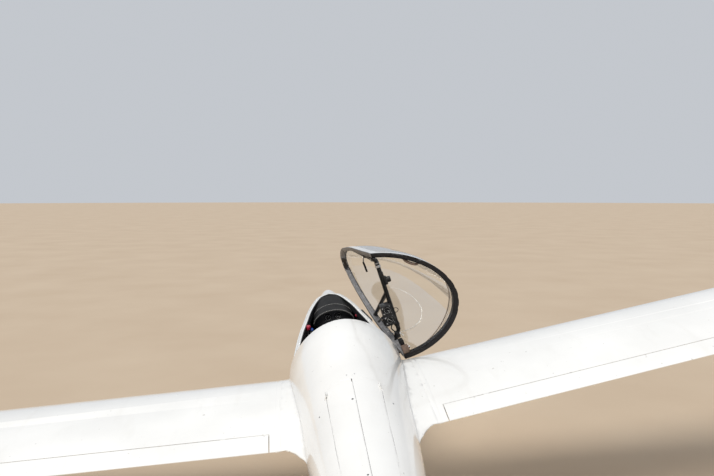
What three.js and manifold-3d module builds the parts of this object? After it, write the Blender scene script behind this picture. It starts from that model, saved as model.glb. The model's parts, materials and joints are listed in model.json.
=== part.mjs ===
// Two-seat 20 m sailplane, parked on its wheels with the left wing tip down and the canopy open.
// Lengths are millimetres. Everything is laid out in the glider's own level frame: origin at the
// wing root's leading edge on the centre plane, +X to the right wing, +Y to the nose, +Z up.
import * as THREE from 'three';
import { mergeVertices } from 'three/addons/utils/BufferGeometryUtils.js';
import Module from 'manifold-3d';

const wasm = await Module();
wasm.setup();

const { sin, cos, tan, PI, abs, sign, hypot, min, max } = Math;
const rad = (degrees) => degrees * PI / 180;

// How it stands: bank is left wing down, pitch is nose up.
const BANK = rad(8.46);
const PITCH = rad(4.01);
const ROOT_HEIGHT = 850;

// Clearances: seats of fixed pieces, and running gaps of moving ones.
const SEAT = 0.3;
const GAP = 5;

// Fuselage. Columns: y, half width, top, bottom, height of the greatest width.
const BODY_SECTIONS = [
  [2982, 12, -118, -160, -140],
  [2950, 42, -88, -196, -141],
  [2880, 70, -60, -232, -142],
  [2760, 97, -38, -268, -142],
  [2600, 121, -20, -304, -140],
  [2450, 138, -2, -334, -134],
  [2300, 156, 92, -362, -130],
  [2100, 190, 188, -398, -122],
  [1800, 236, 286, -446, -107],
  [1500, 268, 356, -480, -92],
  [1200, 302, 404, -500, -76],
  [900, 326, 434, -512, -60],
  [600, 343, 451, -518, -47],
  [300, 357, 460, -518, -36],
  [0, 369, 464, -512, -30],
  [-250, 360, 453, -496, -26],
  [-500, 336, 410, -464, -24],
  [-750, 304, 350, -420, -22],
  [-1000, 280, 292, -362, -20],
  [-1350, 246, 230, -272, -16],
  [-1750, 196, 180, -200, -12],
  [-2250, 150, 138, -158, -10],
];
const BOOM_SECTIONS = [
  [-2250, 150, 138, -158, -10],
  [-2700, 135, 106, -154, -24],
  [-3400, 119, 56, -168, -56],
  [-4200, 104, 2, -186, -92],
  [-4900, 92, -38, -204, -121],
  [-5246, 84, -58, -222, -140],
];
const BODY_POINTS = 32;
const POWER_UP = 1.9;
const POWER_DOWN = 2.15;
const SKIN = 12;

// Cockpit opening and canopy.
const SILL_REAR = 45;
const SILL_CURVE = 3.3;
const OPENING_LENGTH = 2450;
const ARCH_RAKE = rad(31.5);
const CANOPY_OPEN = rad(80);
const HINGE_X = 379;
const HINGE_Z = 34;
const HINGE_TOE = rad(2.7);
const HINGE_PIN = 6;
const HINGE_LUG = 15;
const HINGE_ARM = 25;
const FRAME_BAND = 42;
const FRAME_DEPTH = 30;
const GLASS = 5;
const BRACE_Y = 330;
const BRACE_FOOT_Y = 1050;
const BRACE_RADIUS = 15;
const BRACE_SHOULDER = 255;
const BRACE_RISE = 76;
const BRACE_SUNK = 6;
const HINGE_PLACES = [180, 640];

// Cockpit. Columns: seat name, y of the hip, y of the stick.
const SEATS = [
  ['front', 1240, 1640],
  ['rear', 430, 850],
];
const SEAT_LINE = [[340, -352], [120, -408], [0, -400], [-75, -330], [-250, -40]];
const HEAD_LINE = [[-250.2, -39.7], [-308, 56]];
const SEAT_HALF = 205;
const HEAD_HALF = 90;
const SEAT_SHELL = 16;
const CUSHION_DEPTH = 34;
const STICK_PROFILE = [[0, -600], [11, -600], [11, -235], [19, -225], [19, -120], [12, -108], [0, -105]];
const CONSOLE = { inner: 210, rear: 250, front: 1700, z: -190, depth: 20 };
const PANEL_Y = 1735;
const PANEL_LOW = -215;
const HOOD = { half: 185, foot: -110, rise: 122, skin: 8, pedestal: 72, end: 2300 };

// Wing. Columns: distance from the centre plane, chord, leading edge y, height, thickness ratio.
const DIHEDRAL_INNER = 0.0588;
const DIHEDRAL_OUTER = 0.0805;
const WING_ROOT = 415;
const PANEL_BREAK = 5000;
const TAPER_BREAK = 8000;
const WING_TIP = 9800;
const wingHeight = (s) => s * DIHEDRAL_INNER + max(0, s - PANEL_BREAK) * (DIHEDRAL_OUTER - DIHEDRAL_INNER);
const WING_SECTIONS = [
  [WING_ROOT, 889, 1, 0.150],
  [PANEL_BREAK, 816, 78, 0.145],
  [TAPER_BREAK, 610, 40, 0.138],
  [9350, 412, -58, 0.130],
  [WING_TIP, 300, -128, 0.120],
];
const INCIDENCE = 0.02;
const CAMBER = 0.028;
const TRAILING_EDGE = 3;
const CHORD_STATIONS = [0, 0.012, 0.045, 0.11, 0.21, 0.34, 0.48, 0.62, 0.75, 0.857, 0.93, 1];

// Wing fillet on the fuselage. Columns: distance from the centre, extra chord behind, extra in front,
// thickness ratio over the wing root's.
const FILLET = [
  [WING_ROOT, 0, 0, 1],
  [372, 22, 4, 1.03],
  [338, 70, 12, 1.1],
  [300, 150, 20, 1.2],
  [150, 200, 10, 1.25],
];

// Control surfaces.
const HINGE_FRACTION = 0.857;
const HINGE_DEPTH = 5;
const BARREL = 4;
const BARREL_LENGTH = 26;
const FLAP_IN = 460;
const AILERON_OUT = 9350;
const NOSE_SLANT = rad(24);

// Airbrakes: a two-blade box in the upper skin of each wing, inboard of the panel break.
const BRAKE_IN = 3950;
const BRAKE_OUT = 4900;
const BRAKE_FRACTION = 0.52;
const BRAKE_SLOT = 46;
const BRAKE_DEPTH = 78;
const BLADE = 6;
const CAP_DEPTH = 5;
const BRAKE_ABOVE = 60;

// Winglets. Columns: out from the tip, up, aft, chord, cant in degrees, thickness ratio.
const WINGLET_SECTIONS = [
  [0, 0, 0, 300, 4, 0.12],
  [42, 12, -16, 270, 28, 0.12],
  [72, 46, -36, 240, 60, 0.11],
  [92, 120, -66, 205, 78, 0.105],
  [128, 400, -150, 110, 82, 0.10],
];

// Tail.
const FIN_BASE = { y: -4560, z: -60, hinge: -5260, half: 42 };
const FIN_TOP = { y: -4960, z: 1178, hinge: -5360, half: 27 };
const FIN_CAP = [[1140, -4952], [1236, -4966]];
const FIN_CAP_REAR = -5222;
const FIN_CAP_HALF = 24;
const COLLARS = { rudder: [60, 560, 1050], elevator: [-760, 0, 760] };
const COLLAR_LENGTH = 20;
const RUDDER_BASE = -150;
const RUDDER_TOP = 1150;
const RUDDER_CHORD_LOW = 380;
const RUDDER_CHORD_TOP = 215;
const TAILPLANE_HALF_SPAN = 1450;
const TAILPLANE_Z = 1236;
const TAILPLANE_LE = -4925;
const TAILPLANE_SWEEP = 105;
const TAILPLANE_CHORD = [455, 262];
const TAIL_HINGE_Y = -5262;
const TAIL_THICKNESS = 0.04;
const COVE_SIDES = 20;

// Undercarriage.
const MAIN_WHEEL = { y: -20, radius: 190, half: 75, rim: 102, bead: 46, axle: 12, segments: 32, arc: 10 };
const TAIL_WHEEL = { y: -5060, radius: 105, half: 32, rim: 52, bead: 20, axle: 6, segments: 24, arc: 8 };
const BAY = { front: 215, rear: -255, half: 112, top: -262 };
const LEG_X = 90;
const TIP_SKID = { s: 9690, chordAt: 0.36, halfLength: 62, thickness: 16, reach: 60, sunk: 12 };

// Side view of the cockpit space: the bulkhead behind the rear seat leans back to the arch.
const ROOM = [[2640, -600], [2640, 700], [-470, 700], [-300, 440], [-24, 20], [70, -190], [70, -600]];

// Engine bay behind the wing.
const ENGINE_BAY = { front: -880, rear: -2160, frontHalf: 138, rearHalf: 98, floor: -60 };
const ENGINE_BLOCK = { half: 85, length: 300, height: 210, back: 120 };
const DOOR_SKIN = 6;
const DOOR_HINGE_LIFT = 5;
const DOOR_HINGES = [-915, -2120];
const DOOR_KNUCKLE = 24;
const DOOR_BARREL = 3.5;

const PAINT = { color: 0xf4f3ee, roughness: 0.28, metalness: 0 };
const RED = { color: 0xc8321e, roughness: 0.35, metalness: 0 };
const DARK = { color: 0x1c1c1e, roughness: 0.6, metalness: 0 };
const SEAL = { color: 0x2a2a2c, roughness: 0.45, metalness: 0 };
const CUSHION = { color: 0x2f3033, roughness: 0.9, metalness: 0 };
const TYRE = { color: 0x1a1a1a, roughness: 0.9, metalness: 0 };
const ALLOY = { color: 0xb9bcc0, roughness: 0.4, metalness: 1 };
const STEEL = { color: 0x8b8e92, roughness: 0.35, metalness: 1 };
const GLASS_CLEAR = { color: 0xdfe8ec, roughness: 0.05, metalness: 0, transparent: true, opacity: 0.3 };

const level = new THREE.Group();

function add(name, geometry, material) {
  geometry.computeVertexNormals();
  const mesh = new THREE.Mesh(geometry, new THREE.MeshStandardMaterial(material));
  mesh.name = name;
  level.add(mesh);
  return mesh;
}

// A moving piece is drawn in place, then given its pivot as its own origin. turn is its axis of motion.
function addMoving(name, geometry, material, pivot, turn) {
  geometry.translate(-pivot.x, -pivot.y, -pivot.z);
  const mesh = add(name, geometry, material);
  mesh.position.copy(pivot);
  mesh.userData.turn = turn.clone().normalize();
  return mesh;
}

// Geometry to solid and back.
function solid(geometry) {
  const bare = geometry.clone();
  for (const key of Object.keys(bare.attributes)) {
    if (key !== 'position') bare.deleteAttribute(key);
  }
  const merged = mergeVertices(bare, 1e-3);
  return new wasm.Manifold(new wasm.Mesh({
    numProp: 3,
    vertProperties: new Float32Array(merged.attributes.position.array),
    triVerts: new Uint32Array(merged.index.array),
  }));
}

function shape(manifold) {
  const mesh = manifold.getMesh();
  const geometry = new THREE.BufferGeometry();
  geometry.setAttribute('position', new THREE.BufferAttribute(new Float32Array(mesh.vertProperties), 3));
  geometry.setIndex(new THREE.BufferAttribute(new Uint32Array(mesh.triVerts), 1));
  return geometry;
}

const cut = (base, ...tools) => tools.reduce((body, tool) => body.subtract(tool), base);
const join = (base, ...others) => others.reduce((body, other) => body.add(other), base);

// A closed skin through rings of equal point count, with flat ends.
function loft(rings) {
  const count = rings[0].length;
  const points = rings.flat();
  const faces = [];
  for (let r = 0; r + 1 < rings.length; r += 1) {
    for (let i = 0; i < count; i += 1) {
      const a = r * count + i;
      const b = r * count + (i + 1) % count;
      faces.push(a, b, a + count, b, b + count, a + count);
    }
  }
  const last = (rings.length - 1) * count;
  for (const [a, b, c] of capTriangles(rings[0])) faces.push(a, c, b);
  for (const [a, b, c] of capTriangles(rings.at(-1))) faces.push(last + a, last + b, last + c);
  const geometry = new THREE.BufferGeometry().setFromPoints(points);
  geometry.setIndex(faces);
  return outward(geometry);
}

// Ends are flattened on the two axes in which the ring is widest.
function capTriangles(ring) {
  const box = new THREE.Box3().setFromPoints(ring);
  const size = box.getSize(new THREE.Vector3());
  const axes = ['x', 'y', 'z'].sort((a, b) => size[b] - size[a]).slice(0, 2).sort();
  const flat = ring.map((p) => new THREE.Vector2(p[axes[0]], p[axes[1]]));
  const turned = THREE.ShapeUtils.isClockWise(flat);
  const contour = turned ? [...flat].reverse() : flat;
  const triangles = THREE.ShapeUtils.triangulateShape(contour, []);
  const index = (i) => (turned ? ring.length - 1 - i : i);
  const result = triangles.map(([a, b, c]) => [index(a), index(b), index(c)]);
  return turned ? result.map(([a, b, c]) => [a, c, b]) : result;
}

function signedVolume(geometry) {
  const p = geometry.attributes.position;
  const index = geometry.index.array;
  const [a, b, c] = [new THREE.Vector3(), new THREE.Vector3(), new THREE.Vector3()];
  let volume = 0;
  for (let i = 0; i < index.length; i += 3) {
    a.fromBufferAttribute(p, index[i]);
    b.fromBufferAttribute(p, index[i + 1]);
    c.fromBufferAttribute(p, index[i + 2]);
    volume += a.dot(b.cross(c)) / 6;
  }
  return volume;
}

// Side faces and end caps are wound alike, so one test of the volume turns the whole skin outward.
function outward(geometry) {
  if (signedVolume(geometry) < 0) flip(geometry);
  return geometry;
}

function flip(geometry) {
  const index = geometry.index.array;
  for (let i = 0; i < index.length; i += 3) [index[i], index[i + 1]] = [index[i + 1], index[i]];
  return geometry;
}

function mirrored(geometry) {
  const copy = geometry.index ? geometry.clone() : mergeVertices(geometry.clone(), 1e-4);
  copy.scale(-1, 1, 1);
  return flip(copy);
}

const box = (x0, x1, y0, y1, z0, z1) => new THREE.BoxGeometry(x1 - x0, y1 - y0, z1 - z0)
  .translate((x0 + x1) / 2, (y0 + y1) / 2, (z0 + z1) / 2);

// A side outline in (y, z), drawn through from x0 to x1.
function sideExtrude(outline, x0, x1) {
  const drawn = new THREE.Shape(outline.map(([y, z]) => new THREE.Vector2(y, z)));
  const geometry = new THREE.ExtrudeGeometry(drawn, { depth: x1 - x0, bevelEnabled: false });
  const toSide = new THREE.Matrix4().makeBasis(
    new THREE.Vector3(0, 1, 0), new THREE.Vector3(0, 0, 1), new THREE.Vector3(1, 0, 0));
  return geometry.applyMatrix4(toSide).translate(x0, 0, 0);
}

// A plan outline in (x, y), drawn up from z0 to z1.
function planExtrude(outline, z0, z1) {
  const drawn = new THREE.Shape(outline.map(([x, y]) => new THREE.Vector2(x, y)));
  return new THREE.ExtrudeGeometry(drawn, { depth: z1 - z0, bevelEnabled: false }).translate(0, 0, z0);
}

// A bar along X, turned from a cylinder.
const barX = (radius, x0, x1, y, z, sides = 20) => new THREE.CylinderGeometry(radius, radius, x1 - x0, sides)
  .rotateZ(PI / 2).translate((x0 + x1) / 2, y, z);

// An outline in (x, z), drawn along from y0 to y1.
function frontExtrude(outline, y0, y1) {
  const drawn = new THREE.Shape(outline.map(([x, z]) => new THREE.Vector2(x, z)));
  const geometry = new THREE.ExtrudeGeometry(drawn, { depth: y1 - y0, bevelEnabled: false });
  return geometry.rotateX(PI / 2).translate(0, y1, 0);
}

// A strip between two parallels of a line in (y, z), at distances a and b to its left.
function strip(line, a, b) {
  const shifted = (d) => line.map(([y, z], i) => {
    const [y0, z0] = line[max(0, i - 1)];
    const [y1, z1] = line[min(line.length - 1, i + 1)];
    const length = hypot(y1 - y0, z1 - z0);
    return [y - d * (z1 - z0) / length, z + d * (y1 - y0) / length];
  });
  return [...shifted(a), ...shifted(b).reverse()];
}

// A round rod along a gentle curve through its points.
function rod(points, radius, sides = 8, steps = 8) {
  const path = new THREE.CatmullRomCurve3(points, false, 'catmullrom', 0.2);
  const round = new THREE.Shape().absarc(0, 0, radius, 0, 2 * PI);
  return new THREE.ExtrudeGeometry(round, { steps, curveSegments: sides / 2, extrudePath: path });
}

const V = (x, y, z) => new THREE.Vector3(x, y, z);

// Fuselage sections are near-ellipses with separate upper and lower heights.
function bodyRing([y, half, top, bottom, mid], inset) {
  const w = max(half - inset, 3);
  const up = max(top - mid - inset, 3);
  const down = max(mid - bottom - inset, 3);
  return Array.from({ length: BODY_POINTS }, (_, i) => {
    const a = 2 * PI * i / BODY_POINTS;
    const power = 2 / (sin(a) > 0 ? POWER_UP : POWER_DOWN);
    const c = sign(cos(a)) * abs(cos(a)) ** power;
    const s = sign(sin(a)) * abs(sin(a)) ** power;
    return V(w * c, y, mid + s * (s > 0 ? up : down));
  });
}

// Body section between two table rows.
function bodyAt(y) {
  const i = max(1, BODY_SECTIONS.findIndex((row) => row[0] <= y));
  const [a, b] = [BODY_SECTIONS[i - 1], BODY_SECTIONS[i]];
  const k = (y - a[0]) / (b[0] - a[0]);
  return a.map((value, column) => value + (b[column] - value) * k);
}

// Height of the upper skin over a point of the plan, and half width of the skin at a height.
function topOfBody(x, y) {
  const [, half, top, , mid] = bodyAt(y);
  return mid + (top - mid) * (1 - (abs(x) / half) ** POWER_UP) ** (1 / POWER_UP);
}

function halfOfBody(y, z) {
  const [, half, top, bottom, mid] = bodyAt(y);
  const power = z > mid ? POWER_UP : POWER_DOWN;
  const reach = z > mid ? top - mid : mid - bottom;
  return half * (1 - (abs(z - mid) / reach) ** power) ** (1 / power);
}

const bodyLoft = (sections, inset = 0) => solid(loft(sections.map((row) => bodyRing(row, inset))));

// Cockpit opening: sill line along each side, raked arch behind.
const sillZ = (y) => SILL_REAR * max(0, 1 - y / OPENING_LENGTH) ** SILL_CURVE;

// Everything above the sill and ahead of the arch, moved in from both by a margin.
function openingRegion(margin) {
  const slope = tan(ARCH_RAKE);
  const forward = margin * hypot(1, slope);
  const reach = 900;
  const rows = [0.12, 0.25, 0.4, 0.55, 0.7, 0.85, 1, 1.3].map((t) => t * OPENING_LENGTH);
  const outline = [
    [forward - margin * slope, SILL_REAR + margin],
    ...rows.map((y) => [y, sillZ(y) + margin]),
    [1.3 * OPENING_LENGTH, reach],
    [forward - (reach - SILL_REAR) * slope, reach],
  ];
  return solid(sideExtrude(outline, -600, 600));
}

// Wing sections.
function airfoil(chord, thickness) {
  const upper = [];
  const lower = [];
  for (const x of CHORD_STATIONS) {
    const t = 5 * thickness
      * (0.2969 * x ** 0.5 - 0.126 * x - 0.3516 * x ** 2 + 0.2843 * x ** 3 - 0.1036 * x ** 4);
    const camber = 4 * CAMBER * x * (1 - x);
    const edge = TRAILING_EDGE / 2 * x;
    upper.push([-x * chord, (camber + t) * chord + edge]);
    lower.push([-x * chord, (camber - t) * chord - edge]);
  }
  return [...upper, ...lower.slice(1).reverse()];
}

// An airfoil placed in space: cant 0 stands across X, 90 lies flat.
function section(x, y, z, chord, thickness, cant = 0, incidence = INCIDENCE) {
  return airfoil(chord, thickness).map(([along, up]) => {
    const lift = up * cos(incidence) + along * sin(incidence);
    return V(x - lift * sin(cant), y + along * cos(incidence), z + lift * cos(cant));
  });
}

const wingRows = WING_SECTIONS.map(([s, chord, le, t]) => ({ s, chord, le, t, z: wingHeight(s) }));

function wingAt(s) {
  const i = max(1, wingRows.findIndex((row) => row.s >= s));
  const [a, b] = [wingRows[i - 1], wingRows[i]];
  const k = (s - a.s) / (b.s - a.s);
  const mix = (key) => a[key] + (b[key] - a[key]) * k;
  return { s, chord: mix('chord'), le: mix('le'), t: mix('t'), z: mix('z') };
}

// A point of the upper skin (side 1) or lower skin (side -1) at a chord fraction.
function skinPoint(s, fraction, side) {
  const row = wingAt(s);
  const profile = airfoil(row.chord, row.t);
  const half = CHORD_STATIONS.length;
  const upper = profile.slice(0, half);
  const lower = [profile[0], ...profile.slice(half).reverse()];
  const points = side > 0 ? upper : lower;
  const i = max(1, CHORD_STATIONS.findIndex((x) => x >= fraction));
  const k = (fraction - CHORD_STATIONS[i - 1]) / (CHORD_STATIONS[i] - CHORD_STATIONS[i - 1]);
  const along = points[i - 1][0] + (points[i][0] - points[i - 1][0]) * k;
  const up = points[i - 1][1] + (points[i][1] - points[i - 1][1]) * k;
  return V(s, row.le + along * cos(INCIDENCE), row.z + up * cos(INCIDENCE) + along * sin(INCIDENCE));
}

const wingRing = (row) => section(row.s, row.le, row.z, row.chord, row.t);

// A prism behind a hinge line, from s0 to s1: front faces run down from the hinge with a slant.
function behindHinge(s0, s1, offset, slant) {
  const rings = [s0, s1].map((s) => {
    const h = hingeLine(s);
    const front = h.y + offset;
    const depth = 200;
    return [
      V(s, front, h.z + depth),
      V(s, front, h.z),
      V(s, front - depth * tan(slant), h.z - depth),
      V(s, h.y - 500, h.z - depth),
      V(s, h.y - 500, h.z + depth),
    ];
  });
  return solid(loft(rings));
}

// Straight hinge axes just under the upper skin, one for the flap and one for the aileron.
const underSkin = (s) => skinPoint(s, HINGE_FRACTION, 1).add(V(0, 0, -HINGE_DEPTH));
const hingeEnds = {
  flap: [underSkin(FLAP_IN), underSkin(PANEL_BREAK)],
  aileron: [underSkin(PANEL_BREAK), underSkin(AILERON_OUT)],
};

function hingeLine(s) {
  const [a, b] = s <= PANEL_BREAK ? hingeEnds.flap : hingeEnds.aileron;
  return a.clone().lerp(b, (s - a.x) / (b.x - a.x));
}

// Airbrake box, square to the upper skin at its middle.
const brakeRow = wingAt((BRAKE_IN + BRAKE_OUT) / 2);
const brakeY = brakeRow.le - brakeRow.chord * BRAKE_FRACTION;

function brakeBar(s0, s1, y0, y1, depth0, depth1) {
  const rings = [s0, s1].map((s) => {
    const top = skinPoint(s, BRAKE_FRACTION, 1).z;
    return [V(s, y0, top + depth0), V(s, y1, top + depth0), V(s, y1, top + depth1), V(s, y0, top + depth1)];
  });
  return solid(loft(rings));
}

// Hinge barrels on a control surface, as places along its span.
const BARRELS = { flap: [700, 2700, 4750], aileron: [5250, 7200, 9100] };

function barrels(places, grow) {
  const length = BARREL_LENGTH + 2 * grow;
  return places.map((s) => {
    const at = hingeLine(s);
    const along = hingeLine(s + 1).sub(at).normalize();
    const turn = new THREE.Quaternion().setFromUnitVectors(V(0, 1, 0), along);
    const bar = new THREE.CylinderGeometry(BARREL + grow, BARREL + grow, length, 12);
    return solid(bar.applyQuaternion(turn).translate(at.x, at.y, at.z));
  }).reduce((a, b) => a.add(b));
}

function buildWing() {
  const full = solid(loft([wingAt(WING_ROOT + SEAT), ...wingRows.slice(1)].map(wingRing)));
  const flapBay = behindHinge(FLAP_IN, PANEL_BREAK, GAP / 2, 0);
  const aileronBay = behindHinge(PANEL_BREAK, AILERON_OUT, GAP / 2, 0);
  const [slotRear, slotFront] = [brakeY - BRAKE_SLOT / 2, brakeY + BRAKE_SLOT / 2];
  const slot = brakeBar(BRAKE_IN, BRAKE_OUT, slotRear, slotFront, BRAKE_ABOVE, -BRAKE_DEPTH);
  const places = [...BARRELS.flap, ...BARRELS.aileron];
  const wing = cut(full, flapBay, aileronBay, slot, barrels(places, SEAT));
  const flap = full.intersect(behindHinge(FLAP_IN + GAP, PANEL_BREAK - GAP, -GAP / 2, NOSE_SLANT))
    .add(barrels(BARRELS.flap, 0));
  const aileron = full.intersect(behindHinge(PANEL_BREAK + GAP, AILERON_OUT - GAP, -GAP / 2, NOSE_SLANT))
    .add(barrels(BARRELS.aileron, 0));
  const inner = [BRAKE_IN + SEAT, BRAKE_OUT - SEAT];
  const lid = [BRAKE_IN + GAP, BRAKE_OUT - GAP, slotRear + GAP, slotFront - GAP];
  const cap = full.intersect(brakeBar(...lid, BRAKE_ABOVE, -CAP_DEPTH));
  const foot = BLADE - BRAKE_DEPTH;
  const upper = join(cap, brakeBar(...inner, brakeY + BLADE, brakeY + 2 * BLADE, 2 - CAP_DEPTH, foot));
  const lower = brakeBar(...inner, brakeY - 2 * BLADE, brakeY - BLADE, -CAP_DEPTH - BLADE, foot);
  return {
    wing: shape(wing),
    flap: shape(flap),
    aileron: shape(aileron),
    airbrake_upper: shape(upper),
    airbrake_lower: shape(lower),
  };
}

function buildWinglet() {
  const tip = wingRows.at(-1);
  const rings = WINGLET_SECTIONS.map(([out, up, aft, chord, cant, t]) => section(
    tip.s + SEAT + out, tip.le + aft, tip.z + up, chord, t, rad(cant) - (out === 0 ? rad(4) : 0)));
  return loft(rings);
}

// Height in the level frame at which a point over the ground plane touches it.
const groundUp = V(sin(BANK), sin(PITCH) * cos(BANK), cos(PITCH) * cos(BANK));
const groundZ = (x, y, clearance = 0) => (
  clearance - ROOT_HEIGHT - groundUp.x * x - groundUp.y * y) / groundUp.z;

// A rounded wheel stands on the point of its tread circle that is lowest when it leans.
function wheelZ(wheel) {
  const ring = wheel.radius - wheel.half;
  const reach = ring * hypot(groundUp.y, groundUp.z) + wheel.half;
  return groundZ(0, wheel.y, reach);
}

function tyre(wheel) {
  const crown = wheel.radius - wheel.half;
  const points = [[wheel.rim, -wheel.bead], [wheel.rim + 14, -wheel.bead - 6]];
  for (let i = 0; i <= wheel.arc; i += 1) {
    const a = -PI / 2 + PI * i / wheel.arc;
    points.push([crown + wheel.half * cos(a), wheel.half * sin(a)]);
  }
  points.push([wheel.rim + 14, wheel.bead + 6], [wheel.rim, wheel.bead]);
  return turned(points, wheel.segments);
}

// A closed profile of (radius, along) turned about X.
function turned(profile, segments) {
  const closed = [...profile, profile[0]].map(([r, along]) => new THREE.Vector2(r, along));
  const geometry = mergeVertices(clean(new THREE.LatheGeometry(closed, segments)), 1e-4);
  return outward(geometry.rotateZ(-PI / 2));
}

function clean(geometry) {
  geometry.deleteAttribute('normal');
  geometry.deleteAttribute('uv');
  return geometry;
}

function rim(wheel) {
  const bore = wheel.axle + SEAT;
  const outer = wheel.rim - SEAT;
  const hub = wheel.axle * 2.4;
  const flange = wheel.bead;
  return turned([
    [bore, -flange - 4], [hub, -flange - 4], [hub, -9], [outer * 0.74, -9], [outer * 0.8, -flange],
    [outer, -flange], [outer, flange], [outer * 0.8, flange], [outer * 0.74, 9], [hub, 9],
    [hub, flange + 4], [bore, flange + 4],
  ], wheel.segments);
}

function addWheel(prefix, wheel, axleEnd) {
  const z = wheelZ(wheel);
  for (const [part, geometry, material] of [
    ['tyre', tyre(wheel), TYRE],
    ['rim', rim(wheel), ALLOY],
    ['axle', barX(wheel.axle, -axleEnd, axleEnd, 0, 0), STEEL],
  ]) add(`${prefix}_${part}`, geometry, material).position.set(0, wheel.y, z);
  return z;
}

// Each moving piece's pivot and axis on the right wing. On the left both are mirrored, and a hinge
// axis still points to the right, so that a positive turn lowers either trailing edge.
function addWings() {
  const pieces = { ...buildWing(), winglet: buildWinglet(), tip_skid: buildSkid() };
  const looks = { winglet: RED, tip_skid: DARK, airbrake_lower: ALLOY };
  const brakeTop = skinPoint(BRAKE_IN, BRAKE_FRACTION, 1);
  const motion = {
    flap: hingeEnds.flap,
    aileron: hingeEnds.aileron,
    airbrake_upper: [brakeTop, brakeTop.clone().setZ(brakeTop.z + 1)],
    airbrake_lower: [brakeTop, brakeTop.clone().setZ(brakeTop.z + 1)],
  };
  for (const [part, geometry] of Object.entries(pieces)) {
    const look = looks[part] ?? PAINT;
    const opposite = mirrored(geometry);
    if (!motion[part]) {
      add(`${part}_right`, geometry, look);
      add(`${part}_left`, opposite, look);
      continue;
    }
    const [pivot, far] = motion[part];
    const turn = far.clone().sub(pivot);
    addMoving(`${part}_right`, geometry, look, pivot, turn);
    const mirrorPivot = V(-pivot.x, pivot.y, pivot.z);
    addMoving(`${part}_left`, opposite, look, mirrorPivot, V(turn.x, -turn.y, turn.z * (turn.x ? -1 : 1)));
  }
}

// Rub plate under each tip, deep enough to carry the tip.
function buildSkid() {
  const { s, chordAt, halfLength, thickness, reach, sunk } = TIP_SKID;
  const under = skinPoint(s, chordAt, -1);
  const foot = groundZ(-s, under.y);
  const outline = new THREE.Shape();
  outline.moveTo(-halfLength, reach / 2);
  outline.absellipse(0, 0, halfLength, under.z - foot, PI, 2 * PI, false);
  outline.lineTo(halfLength, reach / 2);
  const drawn = { depth: thickness, bevelEnabled: false, curveSegments: 10 };
  const plate = new THREE.ExtrudeGeometry(outline, drawn);
  const toSide = new THREE.Matrix4().makeBasis(V(0, 1, 0), V(0, 0, 1), V(1, 0, 0));
  plate.applyMatrix4(toSide).translate(s - thickness / 2, under.y, under.z);
  const wing = solid(loft([s - reach, s, s + reach].map(wingAt).map(wingRing)));
  const above = box(s - reach, s + reach, under.y - 200, under.y + 200, under.z + sunk, under.z + 90);
  return shape(solid(plate).subtract(join(wing, solid(above)).translate([0, 0, -SEAT])));
}

function addFuselage() {
  const outer = bodyLoft(BODY_SECTIONS);
  const fillets = [1, -1].map((side) => {
    const geometry = loft(FILLET.map(([s, behind, ahead, thicken]) => {
      const root = wingAt(WING_ROOT);
      return section(s, root.le + ahead, root.z - (WING_ROOT - s) * DIHEDRAL_INNER,
        root.chord + behind + ahead, root.t * thicken * root.chord / (root.chord + behind + ahead));
    }));
    return solid(side > 0 ? geometry : mirrored(geometry));
  });
  const bay = solid(box(-BAY.half, BAY.half, BAY.rear, BAY.front, -700, BAY.top));
  const room = solid(sideExtrude(ROOM, -500, 500));
  const cavity = bodyLoft(BODY_SECTIONS, SKIN).intersect(room).subtract(bayWalls(0));
  const engineBay = solid(planExtrude(bayOutline(GAP / 2), ENGINE_BAY.floor, 500));
  const open = cut(join(outer, ...fillets), cavity, openingRegion(0), bay, engineBay);
  const middle = (ENGINE_BAY.front + ENGINE_BAY.rear) / 2;
  const places = DOOR_HINGES.map((y) => y - sign(y - middle) * (DOOR_KNUCKLE + SEAT));
  const fixed = doorHinges(places, [[-1, 14, -DOOR_BARREL, DOOR_BARREL], [6.5, 14, -18, 0]]);
  const body = join(open, fixed, solid(mirrored(shape(fixed))));
  add('fuselage', shape(body), PAINT);
  return outer;
}

// The wheel bay is boxed off from the cockpit.
const bayWalls = (grow) => solid(box(-BAY.half - SKIN - grow, BAY.half + SKIN + grow,
  BAY.rear - SKIN - grow, BAY.front + SKIN + grow, -700, BAY.top + SKIN + grow));

// Plan of the engine bay, widened by a margin.
function bayOutline(margin) {
  const { front, rear, frontHalf, rearHalf } = ENGINE_BAY;
  return [[-frontHalf - margin, front + margin], [-rearHalf - margin, rear - margin],
    [rearHalf + margin, rear - margin], [frontHalf + margin, front + margin]];
}

// Hinge line of the right door, a little above its outer edge, from the rear end to the front.
function doorEdge() {
  const { front, rear, frontHalf, rearHalf } = ENGINE_BAY;
  const inset = GAP / 2;
  return [[rearHalf - inset, rear + inset], [frontHalf - inset, front - inset]]
    .map(([x, y]) => V(x, y, topOfBody(x, y) + DOOR_HINGE_LIFT));
}

// Barrels on that line at the given places, each with its feet as [x0, x1, z0, z1] beside the line.
function doorHinges(places, feet) {
  const [from, to] = doorEdge();
  const along = to.clone().sub(from).normalize();
  const turn = new THREE.Quaternion().setFromUnitVectors(V(0, 1, 0), along);
  return places.flatMap((y) => {
    const at = from.clone().lerp(to, (y - from.y) / (to.y - from.y));
    const bar = new THREE.CylinderGeometry(DOOR_BARREL, DOOR_BARREL, DOOR_KNUCKLE, 12);
    return [bar.applyQuaternion(turn).translate(at.x, at.y, at.z), ...feet.map(([x0, x1, z0, z1]) => box(
      at.x + x0, at.x + x1, y - DOOR_KNUCKLE / 2 + 1, y + DOOR_KNUCKLE / 2 - 1, at.z + z0, at.z + z1))];
  }).map(solid).reduce((a, b) => a.add(b));
}

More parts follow.
